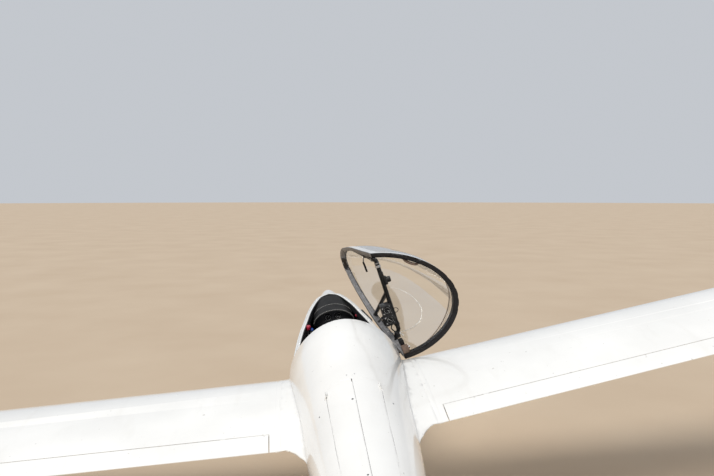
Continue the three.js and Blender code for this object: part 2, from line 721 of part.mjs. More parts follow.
function addEngine(outer) {
  const skin = outer.subtract(bodyLoft(BODY_SECTIONS, DOOR_SKIN));
  const inset = GAP / 2;
  const { front, rear, frontHalf, rearHalf, floor } = ENGINE_BAY;
  const panel = planExtrude([[inset, front - inset], [inset, rear + inset],
    [rearHalf - inset, rear + inset], [frontHalf - inset, front - inset]], 60, 500);
  const knuckles = doorHinges(DOOR_HINGES, [[-DOOR_BARREL, DOOR_BARREL / 2, -10, 0]]);
  const door = shape(skin.intersect(solid(panel)).add(knuckles));
  const opposite = mirrored(door);
  const edge = doorEdge();
  const leftEdge = edge.map((p) => V(-p.x, p.y, p.z));
  addMoving('engine_door_right', door, PAINT, edge[0], edge[1].clone().sub(edge[0]));
  addMoving('engine_door_left', opposite, PAINT, leftEdge[0], leftEdge[0].clone().sub(leftEdge[1]));
  const { half, length, height, back } = ENGINE_BLOCK;
  const block = box(-half, half, front - back - length, front - back, floor + SEAT, floor + height);
  add('engine', block, STEEL);
}

function addBoom() {
  const boom = bodyLoft(BOOM_SECTIONS.map((row, i) => (i ? row : [row[0] - SEAT, ...row.slice(1)])));
  const finRing = ({ y, z, hinge, half }) => bladeFront(y, y - hinge, half, (w, along) => V(w, along, z));
  const capRing = ([z, lead]) => bladeFront(
    lead, lead - FIN_CAP_REAR, FIN_CAP_HALF, (w, along) => V(w, along, z));
  const fin = join(solid(loft([finRing(FIN_BASE), finRing(FIN_TOP)])), solid(loft(FIN_CAP.map(capRing))))
    .subtract(tailplaneBody().translate([0, 0, -SEAT]));
  const cove = solid(loft([RUDDER_BASE - 60, RUDDER_TOP + GAP].map((z) => circleRing(rudderAt(z), GAP))));
  const { y, half, radius, axle } = TAIL_WHEEL;
  const z = wheelZ(TAIL_WHEEL);
  const side = half + 6;
  const slot = solid(box(-side, side, y - radius - 30, y + radius + 20, z - 2 * radius, z + radius + 13));
  const cheeks = bodyLoft(tailCheeks(y, z).map(([at, width, top, bottom]) => [at, width, top, bottom,
    (top + bottom) / 2]));
  const hole = solid(barX(axle + SEAT, -80, 80, y, z));
  add('tail_boom', shape(cut(join(boom, fin, cheeks), cove, slot, hole)), PAINT);
}

// Fairing that carries the tail wheel. Columns: y, half width, top, bottom.
const tailCheeks = (y, z) => [
  [y + 320, 20, -150, -180],
  [y + 120, 58, -120, z + 70],
  [y, 62, -110, z - 70],
  [y - 110, 56, -110, z + 40],
  [y - 185, 22, -120, -200],
];

// Fixed surface ahead of a hinge, as fractions of its depth and of the half thickness at the hinge.
const FRONT_PROFILE = [[0, 0], [0.04, 0.4], [0.13, 0.72], [0.3, 0.97], [0.58, 1.08], [1, 1]];

function bladeFront(lead, depth, half, place) {
  const right = FRONT_PROFILE.map(([k, w]) => place(half * w, lead - depth * k));
  const left = FRONT_PROFILE.slice(1).reverse().map(([k, w]) => place(-half * w, lead - depth * k));
  return [...right, ...left];
}

// Rudder axis, nose radius and trailing edge at a height.
function rudderAt(z) {
  const k = (z - FIN_BASE.z) / (FIN_TOP.z - FIN_BASE.z);
  const mix = (a, b) => a + (b - a) * k;
  return {
    z,
    y: mix(FIN_BASE.hinge, FIN_TOP.hinge),
    radius: mix(FIN_BASE.half, FIN_TOP.half),
    chord: mix(RUDDER_CHORD_LOW, RUDDER_CHORD_TOP),
  };
}

function circleRing({ y, z, radius }, extra, count = COVE_SIDES) {
  return Array.from({ length: count }, (_, i) => {
    const a = 2 * PI * i / count;
    return V((radius + extra) * sin(a), y + (radius + extra) * cos(a), z);
  });
}

// Round nose about the axis, flat sides to a thin trailing edge.
function bladeRing(y, radius, chord, place) {
  const nose = Array.from({ length: 9 }, (_, i) => {
    const a = -PI / 2 + PI * i / 8;
    return [radius * sin(a), y + radius * cos(a)];
  });
  const tail = [[TRAILING_EDGE / 2, y - chord], [-TRAILING_EDGE / 2, y - chord]];
  return [...nose, ...tail].map(place);
}

// Tailplane sections at the left tip, the middle and the right tip.
function tailRows() {
  return [-1, 0, 1].map((side) => {
    const chord = side ? TAILPLANE_CHORD[1] : TAILPLANE_CHORD[0];
    const le = TAILPLANE_LE - (side ? TAILPLANE_SWEEP : 0);
    return { x: side * TAILPLANE_HALF_SPAN, le, chord, half: TAIL_THICKNESS * chord };
  });
}

const tailplaneBody = () => solid(loft(tailRows().map(({ x, le, half }) => bladeFront(
  le, le - TAIL_HINGE_Y, half, (w, along) => V(x, along, TAILPLANE_Z + w)))));

// A bearing collar round a control surface's nose, almost filling the cove.
const collar = (noseRadius) => {
  const radius = (noseRadius + GAP) * cos(PI / COVE_SIDES) - SEAT;
  return new THREE.CylinderGeometry(radius, radius, COLLAR_LENGTH, COVE_SIDES).rotateY(PI / COVE_SIDES);
};

function addTail() {
  const ends = [RUDDER_BASE, RUDDER_TOP].map(rudderAt);
  const blade = loft(ends.map((row) => bladeRing(row.y, row.radius, row.chord, ([x, y]) => V(x, y, row.z))));
  const [low, high] = ends.map(({ y, z }) => V(0, y, z));
  const tilt = new THREE.Quaternion().setFromUnitVectors(V(0, 1, 0), high.clone().sub(low).normalize());
  const rudder = shape(COLLARS.rudder.reduce((body, z) => {
    const narrowest = rudderAt(z + COLLAR_LENGTH).radius;
    return body.add(solid(collar(narrowest).applyQuaternion(tilt).translate(0, rudderAt(z).y, z)));
  }, solid(blade)));
  addMoving('rudder', rudder, PAINT, low, high.clone().sub(low));
  const rows = tailRows();
  const cove = solid(loft(rows.map(({ x, half }) => Array.from({ length: COVE_SIDES }, (_, i) => {
    const a = 2 * PI * i / COVE_SIDES;
    return V(x * 1.01, TAIL_HINGE_Y + (half + GAP) * cos(a), TAILPLANE_Z + (half + GAP) * sin(a));
  }))));
  add('tailplane', shape(tailplaneBody().subtract(cove)), PAINT);
  const flapBlade = loft(rows.map(({ x, le, chord, half }) => bladeRing(
    TAIL_HINGE_Y, half, chord - (le - TAIL_HINGE_Y), ([w, y]) => V(x * 0.99, y, TAILPLANE_Z + w))));
  const halfAt = (x) => rows[1].half + (rows[2].half - rows[1].half) * abs(x) / TAILPLANE_HALF_SPAN;
  const elevator = shape(COLLARS.elevator.reduce((body, x) => {
    const outer = collar(min(halfAt(x), halfAt(abs(x) + COLLAR_LENGTH)));
    return body.add(solid(outer.rotateZ(PI / 2).translate(x, TAIL_HINGE_Y, TAILPLANE_Z)));
  }, solid(flapBlade)));
  addMoving('elevator', elevator, PAINT, V(0, TAIL_HINGE_Y, TAILPLANE_Z), V(1, 0, 0));
}

// The canopy is drawn closed, then swung open about its hinge line on the right sill.
function addCanopy(outer) {
  const gap = openingRegion(GAP);
  const band = openingRegion(GAP + FRAME_BAND);
  const glassRegion = openingRegion(GAP + FRAME_BAND + SEAT);
  const ring = outer.subtract(bodyLoft(BODY_SECTIONS, FRAME_DEPTH)).intersect(gap).subtract(band);
  const frame = ring.add(hingeArms());
  const glass = outer.subtract(bodyLoft(BODY_SECTIONS, GLASS)).intersect(glassRegion);
  const pivot = canopyHinge(0);
  const shut = canopyAxis.clone().negate();
  const inside = bodyLoft(BODY_SECTIONS, FRAME_DEPTH + SEAT).intersect(gap);
  const pieces = [
    ['canopy_frame', shape(frame), SEAL],
    ['canopy_glass', shape(glass), GLASS_CLEAR],
    ['canopy_brace', shape(brace().intersect(inside)), DARK],
    ['rear_panel', rearPanel(), DARK],
  ];
  for (const [name, geometry, look] of pieces) {
    addMoving(name, geometry, look, pivot, shut).quaternion.setFromAxisAngle(canopyAxis, CANOPY_OPEN);
  }
  for (const [i, y] of HINGE_PLACES.entries()) {
    const lug = atHinge(y, box(-130, 5, -HINGE_LUG, HINGE_LUG, -24, 0));
    const pin = atHinge(y, hingeBarrel(-HINGE_LUG, HINGE_LUG));
    const clear = bodyLoft(BODY_SECTIONS, -SEAT);
    add(`canopy_hinge_${i + 1}`, shape(lug.subtract(clear).add(pin)), DARK);
  }
}

// The canopy's hinge line runs beside the right sill and closes in on it toward the nose.
const canopyHinge = (y) => V(HINGE_X - y * tan(HINGE_TOE), y, HINGE_Z);
const canopyAxis = V(-sin(HINGE_TOE), cos(HINGE_TOE), 0);

// A part laid out about the hinge line's point beside y, with Y along the line.
const atHinge = (y, geometry) => solid(geometry.rotateZ(HINGE_TOE).translate(...canopyHinge(y).toArray()));

const hingeBarrel = (from, to) => new THREE.CylinderGeometry(HINGE_PIN, HINGE_PIN, to - from, 12)
  .translate(0, (from + to) / 2, 0);

// Arms from the frame's lower edge, over the sill, to knuckles beside the fixed pins.
function hingeArms() {
  const [from, to] = [HINGE_LUG + SEAT, HINGE_LUG + HINGE_ARM];
  return HINGE_PLACES.flatMap((y) => {
    const level = sillZ(y) + GAP + 2;
    const inner = halfOfBody(y, level) - FRAME_DEPTH / 2 - canopyHinge(y).x;
    const [low, high] = [level - HINGE_Z, level - HINGE_Z + 9];
    return [
      atHinge(y, box(inner, 5, from, to, low, high)),
      atHinge(y, box(-5, 5, from, to, min(0, low), max(0, high))),
      atHinge(y, hingeBarrel(from, to)),
    ];
  }).reduce((a, b) => a.add(b));
}

// A cross tube behind the rear panel. Two legs run forward to the sills, from its middle and its left end.
function brace(grow = 0) {
  const foot = (side, y, lift) => {
    const z = sillZ(y) + lift;
    return V(side * (halfOfBody(y, z) - FRAME_DEPTH + BRACE_SUNK), y, z);
  };
  const crown = V(-20, BRACE_Y, sillZ(BRACE_Y) + BRACE_RISE);
  const shoulder = (side) => V(side * BRACE_SHOULDER, BRACE_Y, crown.z);
  const cross = [foot(-1, BRACE_Y, 34), shoulder(-1), crown, shoulder(1), foot(1, BRACE_Y, 34)];
  const legs = [[crown, foot(1, BRACE_FOOT_Y, 30)], [shoulder(-1), foot(-1, BRACE_FOOT_Y, 30)]];
  return [cross, ...legs].map((points) => solid(rod(points, BRACE_RADIUS + grow))).reduce((a, b) => a.add(b));
}

// The rear seat's instruments hang on the cross tube.
function rearPanel() {
  const top = sillZ(BRACE_Y) + 74;
  const housing = solid(box(55, 205, BRACE_Y - 25, BRACE_Y + 60, top - 70, top));
  return shape(housing.subtract(brace(SEAT)));
}

// Seats, their cushions and headrests, sticks, side consoles and the front panel under its hood.
function addCockpit(bayWalls) {
  const inside = bodyLoft(BODY_SECTIONS, SKIN + SEAT).subtract(bayWalls);
  const fit = (geometry) => shape(solid(geometry).intersect(inside));
  for (const [name, hip, stick] of SEATS) {
    const line = SEAT_LINE.map(([y, z]) => [hip + y, z]);
    const head = HEAD_LINE.map(([y, z]) => [hip + y, z]);
    add(`${name}_seat`, fit(sideExtrude(strip(line, 0, SEAT_SHELL), -SEAT_HALF, SEAT_HALF)), DARK);
    const pad = sideExtrude(strip(line.slice(0, -1), -SEAT, -CUSHION_DEPTH), 14 - SEAT_HALF, SEAT_HALF - 14);
    add(`${name}_cushion`, fit(pad), CUSHION);
    const rest = sideExtrude(strip(head, SEAT_SHELL, -CUSHION_DEPTH), -HEAD_HALF, HEAD_HALF);
    add(`${name}_headrest`, rest, CUSHION);
    const grip = STICK_PROFILE.map(([r, z]) => new THREE.Vector2(r, z));
    add(`${name}_stick`, fit(new THREE.LatheGeometry(grip, 12).rotateX(PI / 2).translate(0, stick, 0)), DARK);
  }
  for (const [name, side] of [['right', 1], ['left', -1]]) {
    const ledge = box(0, 200, CONSOLE.rear, CONSOLE.front, CONSOLE.z - CONSOLE.depth, CONSOLE.z);
    add(`console_${name}`, fit(ledge.translate(side > 0 ? CONSOLE.inner : -CONSOLE.inner - 200, 0, 0)), DARK);
  }
  const arch = (inset) => Array.from({ length: 13 }, (_, i) => {
    const a = PI * i / 12;
    return [(HOOD.half - inset) * cos(a), HOOD.foot + (HOOD.rise - inset) * sin(a)];
  });
  const leg = HOOD.pedestal;
  const side = HOOD.half - HOOD.skin - SEAT;
  const foot = [[-side, PANEL_LOW], [-leg, PANEL_LOW], [-leg, -600],
    [leg, -600], [leg, PANEL_LOW], [side, PANEL_LOW]];
  const face = [...arch(HOOD.skin + SEAT), ...foot];
  const post = box(-leg, leg, PANEL_Y, PANEL_Y + 260, -600, -190);
  const panel = join(solid(frontExtrude(face, PANEL_Y, PANEL_Y + 22)), solid(post)).intersect(inside);
  add('instrument_panel', shape(panel), DARK);
  const hood = frontExtrude([...arch(0), ...arch(HOOD.skin).reverse()], PANEL_Y - 50, HOOD.end);
  add('panel_hood', fit(hood), CUSHION);
}

function addGear() {
  const z = addWheel('main', MAIN_WHEEL, LEG_X - SEAT);
  const { y } = MAIN_WHEEL;
  const top = BAY.top - SEAT;
  const outline = [[y - 26, z - 30], [y + 26, z - 30], [y + 34, z + 40], [y + 150, BAY.top - 60],
    [y + 150, top], [y + 90, top], [y + 90, BAY.top - 60]];
  const plate = (x0, x1) => solid(sideExtrude(outline, x0, x1));
  const bridge = solid(box(-LEG_X - 10, LEG_X + 10, y + 96, y + 144, BAY.top - 26, top));
  add('main_gear_leg', shape(join(plate(LEG_X, LEG_X + 10), plate(-LEG_X - 10, -LEG_X), bridge)), STEEL);
  addWheel('tail', TAIL_WHEEL, 58);
  const door = box(BAY.half - SEAT - 6, BAY.half - SEAT, BAY.rear + 15, BAY.front - 15, -640, -465);
  add('gear_door_right', door, PAINT);
  add('gear_door_left', mirrored(door), PAINT);
  const hook = solid(box(-9, 9, 330, 400, -540, -480)).subtract(bodyLoft(BODY_SECTIONS, -SEAT));
  add('tow_hook', shape(hook), STEEL);
}

addWings();
const outer = addFuselage();
addBoom();
addTail();
addEngine(outer);
addCockpit(bayWalls(SEAT));
addCanopy(outer);
addGear();

const glider = new THREE.Group();
glider.add(level);
level.rotation.set(PITCH, -BANK, 0, 'YXZ');
glider.updateMatrixWorld(true);
const bounds = new THREE.Box3().setFromObject(glider, true);
glider.position.set(-(bounds.min.x + bounds.max.x) / 2, -(bounds.min.y + bounds.max.y) / 2, -bounds.min.z);

export default glider;
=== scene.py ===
"""Looks of the two-seat sailplane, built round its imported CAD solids.

Lengths are metres. Shapes are laid out in the glider's own level frame, as in part.mjs: origin at the
wing root's leading edge on the centre plane, +X to the right wing, +Y to the nose, +Z up. LEVEL takes
them to the row frame. The canopy's own pieces are laid out closed, and OPENED swings them up.
"""
import json
from math import atan2, copysign, cos, exp, hypot, pi, radians, sin, tan, tau

import bmesh
import bpy
import numpy as np
from mathutils import Matrix, Vector

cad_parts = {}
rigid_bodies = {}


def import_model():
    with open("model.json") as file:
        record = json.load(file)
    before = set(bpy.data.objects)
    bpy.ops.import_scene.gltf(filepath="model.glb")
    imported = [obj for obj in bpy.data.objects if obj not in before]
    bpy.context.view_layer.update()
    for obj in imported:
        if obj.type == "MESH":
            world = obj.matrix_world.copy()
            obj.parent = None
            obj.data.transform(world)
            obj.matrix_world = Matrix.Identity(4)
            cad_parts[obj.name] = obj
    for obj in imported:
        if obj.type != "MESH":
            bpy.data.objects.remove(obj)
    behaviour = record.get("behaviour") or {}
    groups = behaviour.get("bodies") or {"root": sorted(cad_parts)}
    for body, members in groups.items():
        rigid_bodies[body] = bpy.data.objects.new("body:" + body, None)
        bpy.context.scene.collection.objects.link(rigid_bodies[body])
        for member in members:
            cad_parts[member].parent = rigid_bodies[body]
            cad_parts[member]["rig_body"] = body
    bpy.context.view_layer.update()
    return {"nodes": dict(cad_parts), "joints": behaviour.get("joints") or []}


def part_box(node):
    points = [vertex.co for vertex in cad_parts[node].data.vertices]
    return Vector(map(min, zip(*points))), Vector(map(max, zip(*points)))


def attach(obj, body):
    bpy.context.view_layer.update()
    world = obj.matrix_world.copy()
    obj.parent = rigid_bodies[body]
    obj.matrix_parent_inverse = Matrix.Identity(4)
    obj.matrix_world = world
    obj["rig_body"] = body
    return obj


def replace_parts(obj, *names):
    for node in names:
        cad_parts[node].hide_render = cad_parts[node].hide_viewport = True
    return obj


def vec(x, y, z):
    return Vector((x, y, z))


def as_mesh(bm, name, *materials):
    """A mesh from a bmesh, which is freed."""
    mesh = bpy.data.meshes.new(name)
    bm.to_mesh(mesh)
    bm.free()
    for material in materials:
        mesh.materials.append(material)
    return mesh


def add_object(name, data):
    """A new object in the scene."""
    obj = bpy.data.objects.new(name, data)
    bpy.context.scene.collection.objects.link(obj)
    return obj


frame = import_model()
nodes = frame["nodes"]
joints = {joint["name"]: joint for joint in frame["joints"]}

ACROSS = vec(1, 0, 0)
UP = vec(0, 0, 1)

# Level frame, read from two joints: the canopy's hinge line and the main wheel's axle.
HINGE = vec(0.379, 0, 0.034)
HINGE_TOE = radians(2.7)
CANOPY_OPEN = radians(80)
hinge_line = -Vector(joints["canopy_swing"]["axis"])
right = Vector(joints["main_wheel_roll"]["axis"])
ahead = (hinge_line + sin(HINGE_TOE) * right) / cos(HINGE_TOE)
turned = Matrix((right, ahead, right.cross(ahead))).transposed()
origin = Vector(joints["canopy_swing"]["pos_m"]) - turned @ HINGE
LEVEL = Matrix.Translation(origin) @ turned.to_4x4()
SWING = Matrix.Rotation(CANOPY_OPEN, 4, vec(-sin(HINGE_TOE), cos(HINGE_TOE), 0))
OPENED = LEVEL @ Matrix.Translation(HINGE) @ SWING @ Matrix.Translation(-HINGE)


# Camera: the photographer's eye behind the wing, a little above the tail boom.
EYE = vec(-0.2686, -4.0348, 1.1647)
HEADING = radians(4.73)
LOOK_DOWN = radians(3.82)
LENS = 32.3

lens = bpy.data.cameras.new("photo_view")
lens.lens = LENS
lens.sensor_width = 36
lens.clip_start = 0.05
lens.clip_end = 400
camera = add_object("photo_view", lens)
camera.location = origin + EYE
camera.rotation_euler = (pi / 2 - LOOK_DOWN, 0, -HEADING)
bpy.context.scene.camera = camera


# Materials
class Look:
    """A material: its Principled shader's constants, and the nodes that feed it."""

    def __init__(self, name, color, roughness, **sockets):
        self.material = bpy.data.materials.new(name)
        self.material.use_nodes = True
        self.tree = self.material.node_tree
        self.feed("Base Color", color)
        self.feed("Roughness", roughness)
        for key, value in sockets.items():
            self.feed(key.replace("_", " "), value)

    def put(self, socket, value):
        """Sets a socket to a constant or links it."""
        if isinstance(value, bpy.types.NodeSocket):
            self.tree.links.new(value, socket)
        else:
            socket.default_value = (*value, 1) if socket.type == "RGBA" else value

    def feed(self, name, value):
        self.put(self.tree.nodes["Principled BSDF"].inputs[name], value)

    def add(self, kind, inputs, **settings):
        node = self.tree.nodes.new("ShaderNode" + kind)
        for key, value in settings.items():
            setattr(node, key, value)
        for key, value in inputs.items():
            self.put(node.inputs[key], value)
        return node

    def place(self):
        return self.add("TexCoord", {}).outputs["Object"]

    def noise(self, scale, detail=4, stretch=(1, 1, 1)):
        """Noise in object space, stretched along the axes."""
        mapping = self.add("Mapping", {"Vector": self.place(), "Scale": stretch})
        inputs = {"Vector": mapping.outputs["Vector"], "Scale": scale, "Detail": detail}
        return self.add("TexNoise", inputs).outputs["Fac"]

    def ramp(self, source, *stops):
        """Colours along a value. Stops are (position, colour)."""
        node = self.add("ValToRGB", {"Fac": source})
        for element, (position, color) in zip(node.color_ramp.elements, stops):
            element.position = position
            element.color = (*color, 1)
        return node.outputs["Color"]

    def mix(self, factor, first, second):
        inputs = {"Factor": factor, "A": first, "B": second}
        return self.add("Mix", inputs, data_type="RGBA").outputs["Result"]

    def spread(self, source, low, high):
        """Maps a noise's middle range to low..high."""
        inputs = {"Value": source, "From Min": 0.3, "From Max": 0.7, "To Min": low, "To Max": high}
        return self.add("MapRange", inputs).outputs["Result"]

    def bump(self, height, strength, distance):
        node = self.add("Bump", {"Height": height, "Strength": strength, "Distance": distance})
        self.feed("Normal", node.outputs["Normal"])


def finish(name, color, dark, roughness, scale, grain, relief, **sockets):
    """A mottled finish: colour drifts to dark in broad clouds, and a fine grain breaks up the gloss."""
    look = Look(name, color, roughness, **sockets)
    look.feed("Base Color", look.ramp(look.noise(scale), (0.35, dark), (0.62, color)))
    fine = look.noise(grain, 3)
    look.feed("Roughness", look.spread(fine, max(roughness - 0.08, 0.02), roughness + 0.08))
    look.bump(fine, 0.5, relief)
    return look.material


def gelcoat_finish(name, color):
    """Polished gelcoat: faint clouds, a film of dust, and small specks and scuffs."""
    look = Look(name, color, 0.16, Coat_Weight=0.5, Coat_Roughness=0.05)
    dusty = tuple(value * 0.93 for value in color)
    base = look.ramp(look.noise(2.2, 5), (0.36, dusty), (0.6, color))
    streaks = look.ramp(look.noise(5, 6, (3, 0.25, 3)), (0.56, (0, 0, 0)), (0.8, (0.16, 0.16, 0.16)))
    base = look.mix(streaks, base, (0.62, 0.59, 0.53))
    specks = look.ramp(look.noise(38, 2), (0.735, (0, 0, 0)), (0.76, (0.5, 0.5, 0.5)))
    look.feed("Base Color", look.mix(specks, base, (0.42, 0.4, 0.37)))
    look.feed("Roughness", look.spread(look.noise(11), 0.11, 0.24))
    look.bump(look.noise(3.5, 1), 0.25, 0.0012)
    return look.material


def woven_finish(name, color, dark, pitch):
    """Cloth or webbing: warp and weft as two crossed waves, worn lighter in patches."""
    look = Look(name, color, 0.85, Sheen_Weight=0.3, Sheen_Roughness=0.4)
    inputs = {"Vector": look.place(), "Scale": 1 / pitch / 6.3, "Distortion": 0.4}
    warp, weft = (look.add("TexWave", inputs, bands_direction=axis).outputs["Fac"] for axis in "XY")
    weave = look.add("Math", {0: warp, 1: weft}, operation="MAXIMUM").outputs["Value"]
    worn = look.ramp(look.noise(14), (0.35, dark), (0.65, color))
    look.feed("Base Color", look.mix(weave, dark, worn))
    look.bump(weave, 0.6, 0.0006)
    return look.material


def glass_finish(name):
    """Clear acrylic with fine wiping scratches."""
    look = Look(name, (0.97, 0.985, 0.98), 0.015, IOR=1.49, Transmission_Weight=1.0)
    scratches = look.noise(60, 5, (1, 0.03, 1))
    look.feed("Roughness", look.spread(scratches, 0.012, 0.024))
    look.bump(scratches, 0.05, 0.00001)
    return look.material


GELCOAT = gelcoat_finish("gelcoat", (0.86, 0.855, 0.835))
TIP_RED = gelcoat_finish("tip_red", (0.62, 0.075, 0.03))
LINING = finish("cockpit_lining", (0.014, 0.014, 0.015), (0.007, 0.007, 0.008), 0.85, 9, 220, 0.0006,
                Specular_IOR_Level=0.2)
SEAL = finish("canopy_seal", (0.01, 0.0085, 0.009), (0.006, 0.005, 0.0055), 0.4, 12, 160, 0.0002,
              Specular_IOR_Level=0.3)
CARBON = finish("black_composite", (0.022, 0.022, 0.024), (0.012, 0.012, 0.013), 0.42, 10, 180, 0.0003)
BLACK = finish("black_plastic", (0.011, 0.011, 0.012), (0.007, 0.007, 0.007), 0.5, 20, 260, 0.0003,
               Specular_IOR_Level=0.3)
RAIL_GREY = finish("rail_grey", (0.21, 0.205, 0.21), (0.13, 0.127, 0.13), 0.45, 16, 200, 0.0002)
ALLOY = finish("alloy", (0.62, 0.63, 0.64), (0.48, 0.48, 0.49), 0.34, 12, 240, 0.0002, Metallic=1.0)
STEEL = finish("steel", (0.42, 0.42, 0.43), (0.3, 0.3, 0.31), 0.38, 14, 240, 0.0002, Metallic=1.0)
GEAR_GREY = finish("gear_paint", (0.46, 0.47, 0.48), (0.34, 0.34, 0.35), 0.42, 10, 200, 0.0003)
ENGINE = finish("engine_cast", (0.23, 0.23, 0.24), (0.14, 0.14, 0.145), 0.55, 14, 120, 0.001, Metallic=0.6)
RUBBER = finish("tyre_rubber", (0.03, 0.029, 0.028), (0.055, 0.05, 0.045), 0.8, 9, 140, 0.0008)
SKID = finish("skid_nylon", (0.05, 0.05, 0.05), (0.12, 0.11, 0.1), 0.6, 30, 160, 0.0008)
CLOTH = woven_finish("upholstery", (0.075, 0.077, 0.084), (0.028, 0.028, 0.032), 0.0035)
WEBBING = woven_finish("webbing", (0.05, 0.085, 0.19), (0.02, 0.035, 0.09), 0.0028)
LEATHER = finish("hood_leather", (0.013, 0.0125, 0.0125), (0.007, 0.007, 0.007), 0.7, 14, 90, 0.0012,
                 Specular_IOR_Level=0.25)
THREAD = finish("thread", (0.62, 0.61, 0.58), (0.45, 0.44, 0.42), 0.8, 40, 300, 0.0002)
GLASS = glass_finish("canopy_glass")
WHITE = finish("dial_white", (0.8, 0.8, 0.78), (0.66, 0.66, 0.64), 0.5, 30, 300, 0.0001)
RED_KNOB = finish("red_knob", (0.42, 0.02, 0.05), (0.26, 0.012, 0.03), 0.35, 30, 260, 0.0002)
YELLOW_KNOB = finish("yellow_knob", (0.75, 0.5, 0.03), (0.55, 0.36, 0.02), 0.4, 30, 260, 0.0002)
BLUE_KNOB = finish("blue_knob", (0.03, 0.1, 0.42), (0.02, 0.06, 0.26), 0.4, 30, 260, 0.0002)
GREEN_KNOB = finish("green_knob", (0.04, 0.3, 0.09), (0.02, 0.18, 0.06), 0.4, 30, 260, 0.0002)
BROWN = finish("brown_nylon", (0.2, 0.13, 0.095), (0.11, 0.075, 0.055), 0.55, 60, 200, 0.0004)
# Painted glint: light grey lines that stand in for light caught along the acrylic's edges and arcs.
GLASS_GLINT = finish("acrylic_edge_glint", (0.74, 0.75, 0.73), (0.6, 0.62, 0.6), 0.14, 20, 300, 0.0001)
# Painted reflection: a brown band that stands in for the brown ground showing in the glass near the arch.
BOW_REFLECTION = finish("glass_reflections", (0.24, 0.19, 0.15), (0.15, 0.115, 0.09), 0.3, 20, 200, 0.0002)
SEAM = finish("door_seal", (0.8, 0.795, 0.78), (0.7, 0.69, 0.68), 0.5, 20, 300, 0.0002)


# Pieces
CREASE = 35


def settle(name, mesh, body, place=LEVEL):
    """Moves a new mesh from its level layout to the row frame and hangs it on a body."""
    mesh.transform(place)
    obj = add_object(name, mesh)
    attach(obj, body)
    return obj


def shade(mesh, degrees):
    """Smooth faces, with edges sharper than the angle kept crisp."""
    mesh.polygons.foreach_set("use_smooth", [True] * len(mesh.polygons))
    mesh.set_sharp_from_angle(angle=radians(degrees))


class Kit:
    """Small parts that are joined into one piece, each in its own material."""

    def __init__(self, place=LEVEL):
        self.bm = bmesh.new()
        self.materials = []
        self.place = place

    def slot(self, material):
        if material not in self.materials:
            self.materials.append(material)
        return self.materials.index(material)

    def take(self, points, faces, material):
        """Adds a part given as points and faces."""
        vertices = [self.bm.verts.new(point) for point in points]
        index = self.slot(material)
        for face in faces:
            made = self.bm.faces.new([vertices[i] for i in face])
            made.material_index = index

    def box(self, low, high, material, bevel, turn=None, base=(0, 0, 0)):
        """A block with rounded edges between two corners, counted from base, turned about its centre."""
        part = bmesh.new()
        bmesh.ops.create_cube(part, size=1)
        size = Vector(high) - Vector(low)
        centre = Vector(base) + (Vector(high) + Vector(low)) / 2
        bmesh.ops.scale(part, vec=size, verts=part.verts)
        width = min(bevel, min(size) * 0.45)
        bmesh.ops.bevel(part, geom=part.edges[:], offset=width, segments=2, profile=0.7, affect="EDGES")
        if turn:
            part.transform(turn.to_4x4())
        part.transform(Matrix.Translation(centre))
        part.verts.index_update()
        points = [vertex.co.copy() for vertex in part.verts]
        faces = [[vertex.index for vertex in face.verts] for face in part.faces]
        self.take(points, faces, material)
        part.free()

    def skin(self, rings, material, ends="flat"):
        """A skin through rings of points. Its ends are flat, open, or joined to each other."""
        count, total = len(rings[0]), len(rings)
        faces = []
        for r in range(total if ends == "joined" else total - 1):
            here, there = r * count, (r + 1) % total * count
            for k in range(count):
                after = (k + 1) % count
                faces.append((here + k, here + after, there + after, there + k))
        if ends == "flat":
            faces += [range(count)[::-1], range((total - 1) * count, total * count)]
        self.take([point for ring in rings for point in ring], faces, material)

    def lathe(self, profile, centre, axis, material, segments):
        """A closed profile of (radius, along) turned about an axis through the centre."""
        place = Matrix.Translation(centre) @ UP.rotation_difference(Vector(axis)).to_matrix().to_4x4()
        turns = [Matrix.Rotation(tau * k / segments, 4, UP) for k in range(segments)]
        rings = [[place @ turn @ vec(radius, 0, along) for radius, along in profile] for turn in turns]
        self.skin(rings, material, "joined")

    def disc(self, radius, depth, centre, axis, material, segments):
        """A solid button with a rounded edge, standing on its centre."""
        soft = min(depth, radius) * 0.15
        profile = [(0.0001, 0), (radius, 0), (radius, depth - soft), (radius - soft, depth), (0.0001, depth)]
        self.lathe(profile, centre, axis, material, segments)

    def tube(self, line, radius, material, sides=12, smooth=6):
        """A round bar along a smooth line through the points, closed at both ends."""
        path = curve_through(line, smooth) if smooth else [Vector(point) for point in line]
        rings = []
        side = None
        for point, along in with_tangents(path):
            if side is None:
                side = along.orthogonal()
            side = (side - along * side.dot(along)).normalized()
            other = along.cross(side)
            turns = [tau * k / sides for k in range(sides)]
            rings.append([point + radius * (cos(turn) * side + sin(turn) * other) for turn in turns])
        self.skin(rings, material)

    def strip(self, line, ups, profile, material):
        """A bar along a line, with an up at each point. Its profile is pairs of inset and height."""
        rings = []
        for (point, along), up in zip(with_tangents(line), ups):
            inward = up.cross(along).normalized()
            rings.append([point + inset * inward + height * up for inset, height in profile])
        self.skin(rings, material)

    def band(self, line, across, width, thickness, material):
        """A flat strap along a line: width lies along the vector across, and thickness is centred."""
        w, t = width / 2, thickness / 2
        line = [Vector(point) for point in line]
        ups = [Vector(across).normalized()] * len(line)
        self.strip(line, ups, [(-t, -w), (-t, w), (t, w), (t, -w)], material)

    def piece(self, name, body, degrees=CREASE):
        """The finished piece, hung on its body."""
        bmesh.ops.recalc_face_normals(self.bm, faces=self.bm.faces)
        mesh = as_mesh(self.bm, name, *self.materials)
        shade(mesh, degrees)
        return settle(name, mesh, body, self.place)


def with_tangents(line):
    """Each point of a line with its unit direction."""
    before, after = [line[0], *line[:-1]], [*line[1:], line[-1]]
    return [(point, (b - a).normalized()) for a, point, b in zip(before, line, after)]


